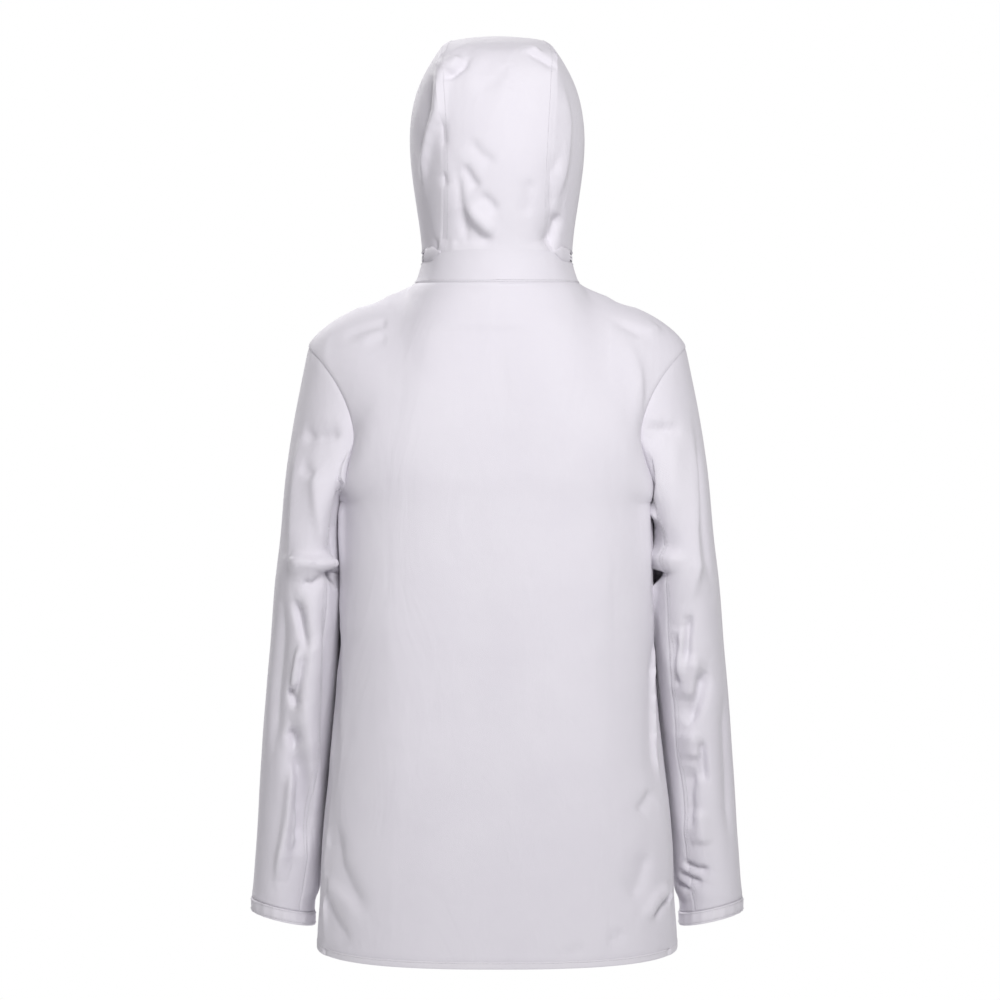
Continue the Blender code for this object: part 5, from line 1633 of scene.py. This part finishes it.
# ------------------------------------------------------------------ the scene round the object
def studio():
    """A pale floor, a soft even room and a soft light from above and behind the camera."""
    floor_z = -1.42  # where the wearer would stand
    mesh = bpy.data.meshes.new("floor")
    n, radius = 96, 3.2
    ring = [
        (
            radius * math.cos(2 * math.pi * k / n), radius * math.sin(2 * math.pi * k / n), floor_z
        ) for k in range(n)
    ]
    mesh.from_pydata(ring, [], [tuple(range(n))])
    mat, nodes, links, shader = new_material("floor", (0.88, 0.88, 0.89), 0.9)
    mottled(nodes, links, shader, (0.88, 0.88, 0.89), (0.86, 0.86, 0.87), 1.5)
    shader.inputs["Emission Color"].default_value = (1.0, 1.0, 1.0, 1.0)
    shader.inputs["Emission Strength"].default_value = 0.24
    mesh.materials.append(mat)
    floor = bpy.data.objects.new("floor", mesh)
    bpy.context.scene.collection.objects.link(floor)

    world = bpy.data.worlds.new("room")
    world.use_nodes = True
    nodes, links = world.node_tree.nodes, world.node_tree.links
    seen = nodes["Background"]
    seen.inputs["Color"].default_value, seen.inputs["Strength"].default_value = (1, 1, 1, 1), 1.0
    glow = node(nodes, "ShaderNodeBackground")
    glow.inputs["Color"].default_value = (1.0, 0.985, 1.0, 1)
    glow.inputs["Strength"].default_value = 0.30
    path, mix = node(nodes, "ShaderNodeLightPath"), node(nodes, "ShaderNodeMixShader")
    links.new(path.outputs["Is Camera Ray"], mix.inputs[0])
    links.new(glow.outputs[0], mix.inputs[1])
    links.new(seen.outputs[0], mix.inputs[2])
    links.new(mix.outputs[0], nodes["World Output"].inputs["Surface"])
    bpy.context.scene.world = world

    def area(name, place, aim, size, power, spread=180):
        light = bpy.data.lights.new(name, "AREA")
        light.spread = math.radians(spread)
        light.size, light.energy, light.color = size, power, (1.0, 0.99, 1.0)
        obj = bpy.data.objects.new(name, light)
        obj.location = place
        obj.rotation_euler = (Vector(aim) - Vector(place)).to_track_quat("-Z", "Y").to_euler()
        bpy.context.scene.collection.objects.link(obj)

    area("key", (-0.40, 2.1, 0.95), (0, 0, -0.10), 0.8, 17, 110)
    area("front_key", (1.0, -2.1, 1.15), (0, 0, -0.15), 0.8, 60)


def camera():
    """Level, straight behind the jacket, far enough for a flat view."""
    lens = bpy.data.cameras.new("camera")
    lens.sensor_width, lens.lens = 36.0, 140.0
    obj = bpy.data.objects.new("camera", lens)
    obj.location = (-0.0032, 4.30, -0.2322)
    obj.rotation_euler = (math.pi / 2, 0, math.pi)
    bpy.context.scene.collection.objects.link(obj)
    bpy.context.scene.camera = obj


def hinge_cloth():
    """The hood's cloth leaves its body and stays where it is, its modifiers and its place baked
    into its mesh.
    """
    for obj in [o for o in bpy.context.scene.objects if o.name in HOOD_CLOTH]:
        place = obj.matrix_world.copy()
        obj.parent = None
        obj.matrix_world = place
        if obj.modifiers:
            bake(obj, 60)
        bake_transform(obj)


# ------------------------------------------------------------------ assembly
HOOD_CLOTH = (
    "hood_centre_panel_sheet", "left_hood_panel_sheet", "right_hood_panel_sheet",
    "hood_zip_tape_shaped",
    "hood_teeth", "hood_stitching",
)
FLAT_CUT = {  # each panel's cut piece, width and length
    "back_panel": (0.60, 0.80), "left_front_panel": (0.30, 0.78), "right_front_panel": (0.30, 0.78),
    "left_outer_sleeve": (0.36, 0.66), "right_outer_sleeve": (0.36, 0.66),
    "left_under_sleeve": (0.16, 0.52), "right_under_sleeve": (0.16, 0.52),
    "collar": (0.56, 0.072), "hood_centre_panel": (0.135, 0.56),
    "left_hood_panel": (0.20, 0.28), "right_hood_panel": (0.20, 0.28),
    "veil_bib": (0.34, 0.12), "veil_net": (0.36, 0.28),
}


def show_cloth(garment, body, nets=()):
    for name in garment.order:
        finish = "net" if name in nets else "cloth"
        obj = show_panel(garment, name, body, finish, 0.0004 if name in nets else SHEET)
        width, length = FLAT_CUT[name]
        area = min(garment.rest_area(name), width * length)


def stitch_cloth(stitching, jacket, hood):
    def sew(garment, body, name, rows=(), columns=(), cut=slice(None)):
        grid, normals = garment.grid(name)[cut], garment.grid_normals(name)[cut]
        k = garment.finer[name]
        for row in rows:
            stitching.run(body, *grid_line(grid, normals, row=row, k=k))
        for column in columns:
            stitching.run(body, *grid_line(grid, normals, column=column, k=k))

    for name in jacket.order:
        k = jacket.finer[name]
        if "outer_sleeve" in name:
            sew(jacket, "jacket", name, (-1.2,), (0.5, 1.3, -0.5, -1.3))
        elif "under_sleeve" in name:
            sew(jacket, "jacket", name, (-1.2,))
        elif name == "collar":
            sew(jacket, "jacket", name, (0.5, 0.9))
            zipped = (HALF_COLUMNS - SEWN_CELLS) * k
            for ends in (slice(0, zipped), slice(-zipped, None)):
                grid, normals = jacket.grid(name)[:, ends], jacket.grid_normals(name)[:, ends]
                stitching.run("jacket", *grid_line(grid, normals, row=-0.5, k=k))
        else:
            ends = (1.0, -1.0) if name == "back_panel" else (-1.0,)
            sew(jacket, "jacket", name, (-1.0,))
            sew(jacket, "jacket", name, (), ends, slice(LOWER_ROWS * k, None))
            if name != "back_panel":
                sew(jacket, "jacket", name, (), (0.35, 1.1))
    sew(hood, "hood", "hood_centre_panel", (-1.0, -3.0), (0.9, -0.9), slice(0, -1))
    for name in SIDES:
        panel = f"{name}_hood_panel"
        sew(hood, "hood", panel, (), (-0.6, -1.9))
        k = hood.finer[panel]
        grid, normals = hood.grid(panel)[:, 5 * k :], hood.grid_normals(panel)[:, 5 * k :]
        stitching.run("hood", *grid_line(grid, normals, row=0.5, k=k))


def hem_and_cuffs(stitching, jacket):
    path, outs = [], []
    for name in ("left_front_panel", "back_panel", "right_front_panel"):
        line = jacket.grid(name)[0]
        out = jacket.grid_normals(name)[0]
        if name != "right_front_panel" and name != "left_front_panel":
            line, out = line[::-1], out[::-1]
        if name == "right_front_panel":
            line, out = line[::-1], out[::-1]
        skip = 1 if path else 0
        path += list(line[skip:])
        outs += list(out[skip:])
    path, outs = np.array(path), np.array(outs)
    outs[:, 2] = 0
    outs /= np.linalg.norm(outs, axis=1, keepdims=True)
    downs = np.tile([0.0, 0.0, -1.0], (len(path), 1))
    start = path - outs * SHEET / 2
    folded_band(
        "hem_band", start, outs, downs, HEM_BAND, 0.0028, "jacket", "binding", False, "hem_binding"
    )
    stitching.run("jacket", start + downs * 0.0016 + outs * 0.0016, outs)
    rng = np.random.default_rng(11)
    for name, side in SIDES.items():
        outer = jacket.grid(f"{name}_outer_sleeve")[-1]
        under = jacket.grid(f"{name}_under_sleeve")[-1]
        path = np.concatenate([outer[:-1], under[:-1]])
        x, y = side * SLEEVE[-1][0], SLEEVE[-1][1]
        outs = path - np.array([x, y, 0])
        outs[:, 2] = 0
        outs /= np.linalg.norm(outs, axis=1, keepdims=True)
        ripple = np.sin(np.arange(len(path)) * 2 * math.pi / 10 + rng.uniform(0, 6)) * 0.0004
        start = path - outs * (SHEET / 2 - ripple[:, None])
        downs = np.tile([0.0, 0.0, -1.0], (len(path), 1))
        folded_band(
            f"{name}_cuff", start, outs, downs, CUFF_BAND, 0.0030, "jacket", "binding", True,
            f"{name}_cuff_band"
        )
        for drop in (0.0018, 0.0120):
            line = start + downs * drop + outs * 0.0019
            stitching.run(
                "jacket", np.concatenate([line, line[:1]]), np.concatenate([outs, outs[:1]])
            )
        folded_band(
            f"{name}_cuff_elastic_band", start - outs * 0.0030 + downs * 0.003, outs, downs,
            0.009, 0.0012,
            "jacket", "elastic", True, f"{name}_cuff_elastic",
        )


def throat_tab(stitching, jacket):
    """The tab's pieces lie on the collar; its grid runs from the wearer's right round the back."""
    grid, normals = jacket.grid("collar"), jacket.grid_normals("collar")
    columns = grid.shape[1]
    half = (columns - 1) // 2
    wrapped = np.concatenate([grid[:, half:], grid[:, :half]], axis=1)
    wrapped_n = np.concatenate([normals[:, half:], normals[:, :half]], axis=1)

    def share(angle):
        quarter = HALF_COLUMNS // 2 * jacket.finer["collar"]
        if angle <= math.pi:
            t = (
                math.pi - angle - math.asin(FRONT_EDGE / NECK_WIDTH)
            ) / (math.pi / 2 - math.asin(FRONT_EDGE / NECK_WIDTH))
            return (half - t * quarter) / (2 * half)
        t = (
            angle - math.pi - math.asin(FRONT_EDGE / NECK_WIDTH)
        ) / (math.pi / 2 - math.asin(FRONT_EDGE / NECK_WIDTH))
        return (half + 1 + t * quarter) / (2 * half)

    def lay(name, turns, rise, lift, thick, finish, body, cells, pillow):
        us = tuple(share(a) for a in turns)
        return patch(name, wrapped, wrapped_n, us, rise, lift, thick, finish, body, cells, pillow)

    pad_turns, pad_rise = (math.radians(206.5), math.radians(212.5)), (0.44, 0.84)
    loop, _, _ = lay(
        "throat_loop_tape", pad_turns, pad_rise, 0.0002, 0.0009, "pad", "jacket", (6, 6), 0
    )
    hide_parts("throat_loop_pad")
    hook, _, _ = lay(
        "throat_hook_tape", pad_turns, pad_rise, 0.0015, 0.0009, "pad", "throat_flap", (6, 6), 0
    )
    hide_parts("throat_hook_pad")
    tab, top, outs = lay(
        "throat_tab", FLAP_TURN, FLAP_RISE, 0.0027, CLOTH, "cloth", "throat_flap", (36, 10), 0.0003
    )
    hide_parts("throat_flap")
    stitch_round(stitching, "throat_flap", top, outs, 0.0022)


jacket = build_jacket()
crease_jacket(jacket)
drape_jacket(jacket)
jacket.refine(jacket_detail)
hood = build_hood()
crease_hood(hood)
drape_hood(hood)
hood.refine(hood_detail)

show_cloth(jacket, "jacket")
show_cloth(hood, "hood", nets=("veil_net",))
stitching = Stitching()
stitch_cloth(stitching, jacket, hood)
hem_and_cuffs(stitching, jacket)
hip_flap_u = (HIP_U[0] - 0.012, HIP_U[1] + 0.012)
for side_name in SIDES:
    pocket(stitching, jacket, f"{side_name}_hip", side_name, HIP_U, HIP_V, hip_flap_u, HIP_FLAP_V)
chest_flap_u = (CHEST_U[0] - 0.010, CHEST_U[1] + 0.010)
pocket(stitching, jacket, "chest", "left", CHEST_U, CHEST_V, chest_flap_u, CHEST_FLAP_V)
throat_tab(stitching, jacket)
zip_garages(stitching)
front_teeth()
neck_teeth()
for name in ("front_slider", "left_neck_slider", "right_neck_slider"):
    softened(name, "metal", 0.00030)
    softened(f"{name}_pull", "metal", 0.00035)
for name in ("left_zip_stop", "right_zip_stop", "zip_foot_box"):
    softened(name, "teeth", 0.0005)
for name in ("face_boning", "veil_boning"):
    softened(name, "boning", 0.0003)
for name in (
    "left_front_zip_tape", "right_front_zip_tape", "left_collar_zip_tape",
    "right_collar_zip_tape", "hood_zip_tape"
):
    world_uvs(softened(name, "tape", 0.0002, 2))
world_uvs(softened("hanger_loop", "tape", 0.0005))
world_uvs(softened("wind_guard", "cloth", 0.0004))
stitching.finish()
hinge_cloth()
studio()
camera()
bpy.context.scene.view_settings.view_transform = "Standard"
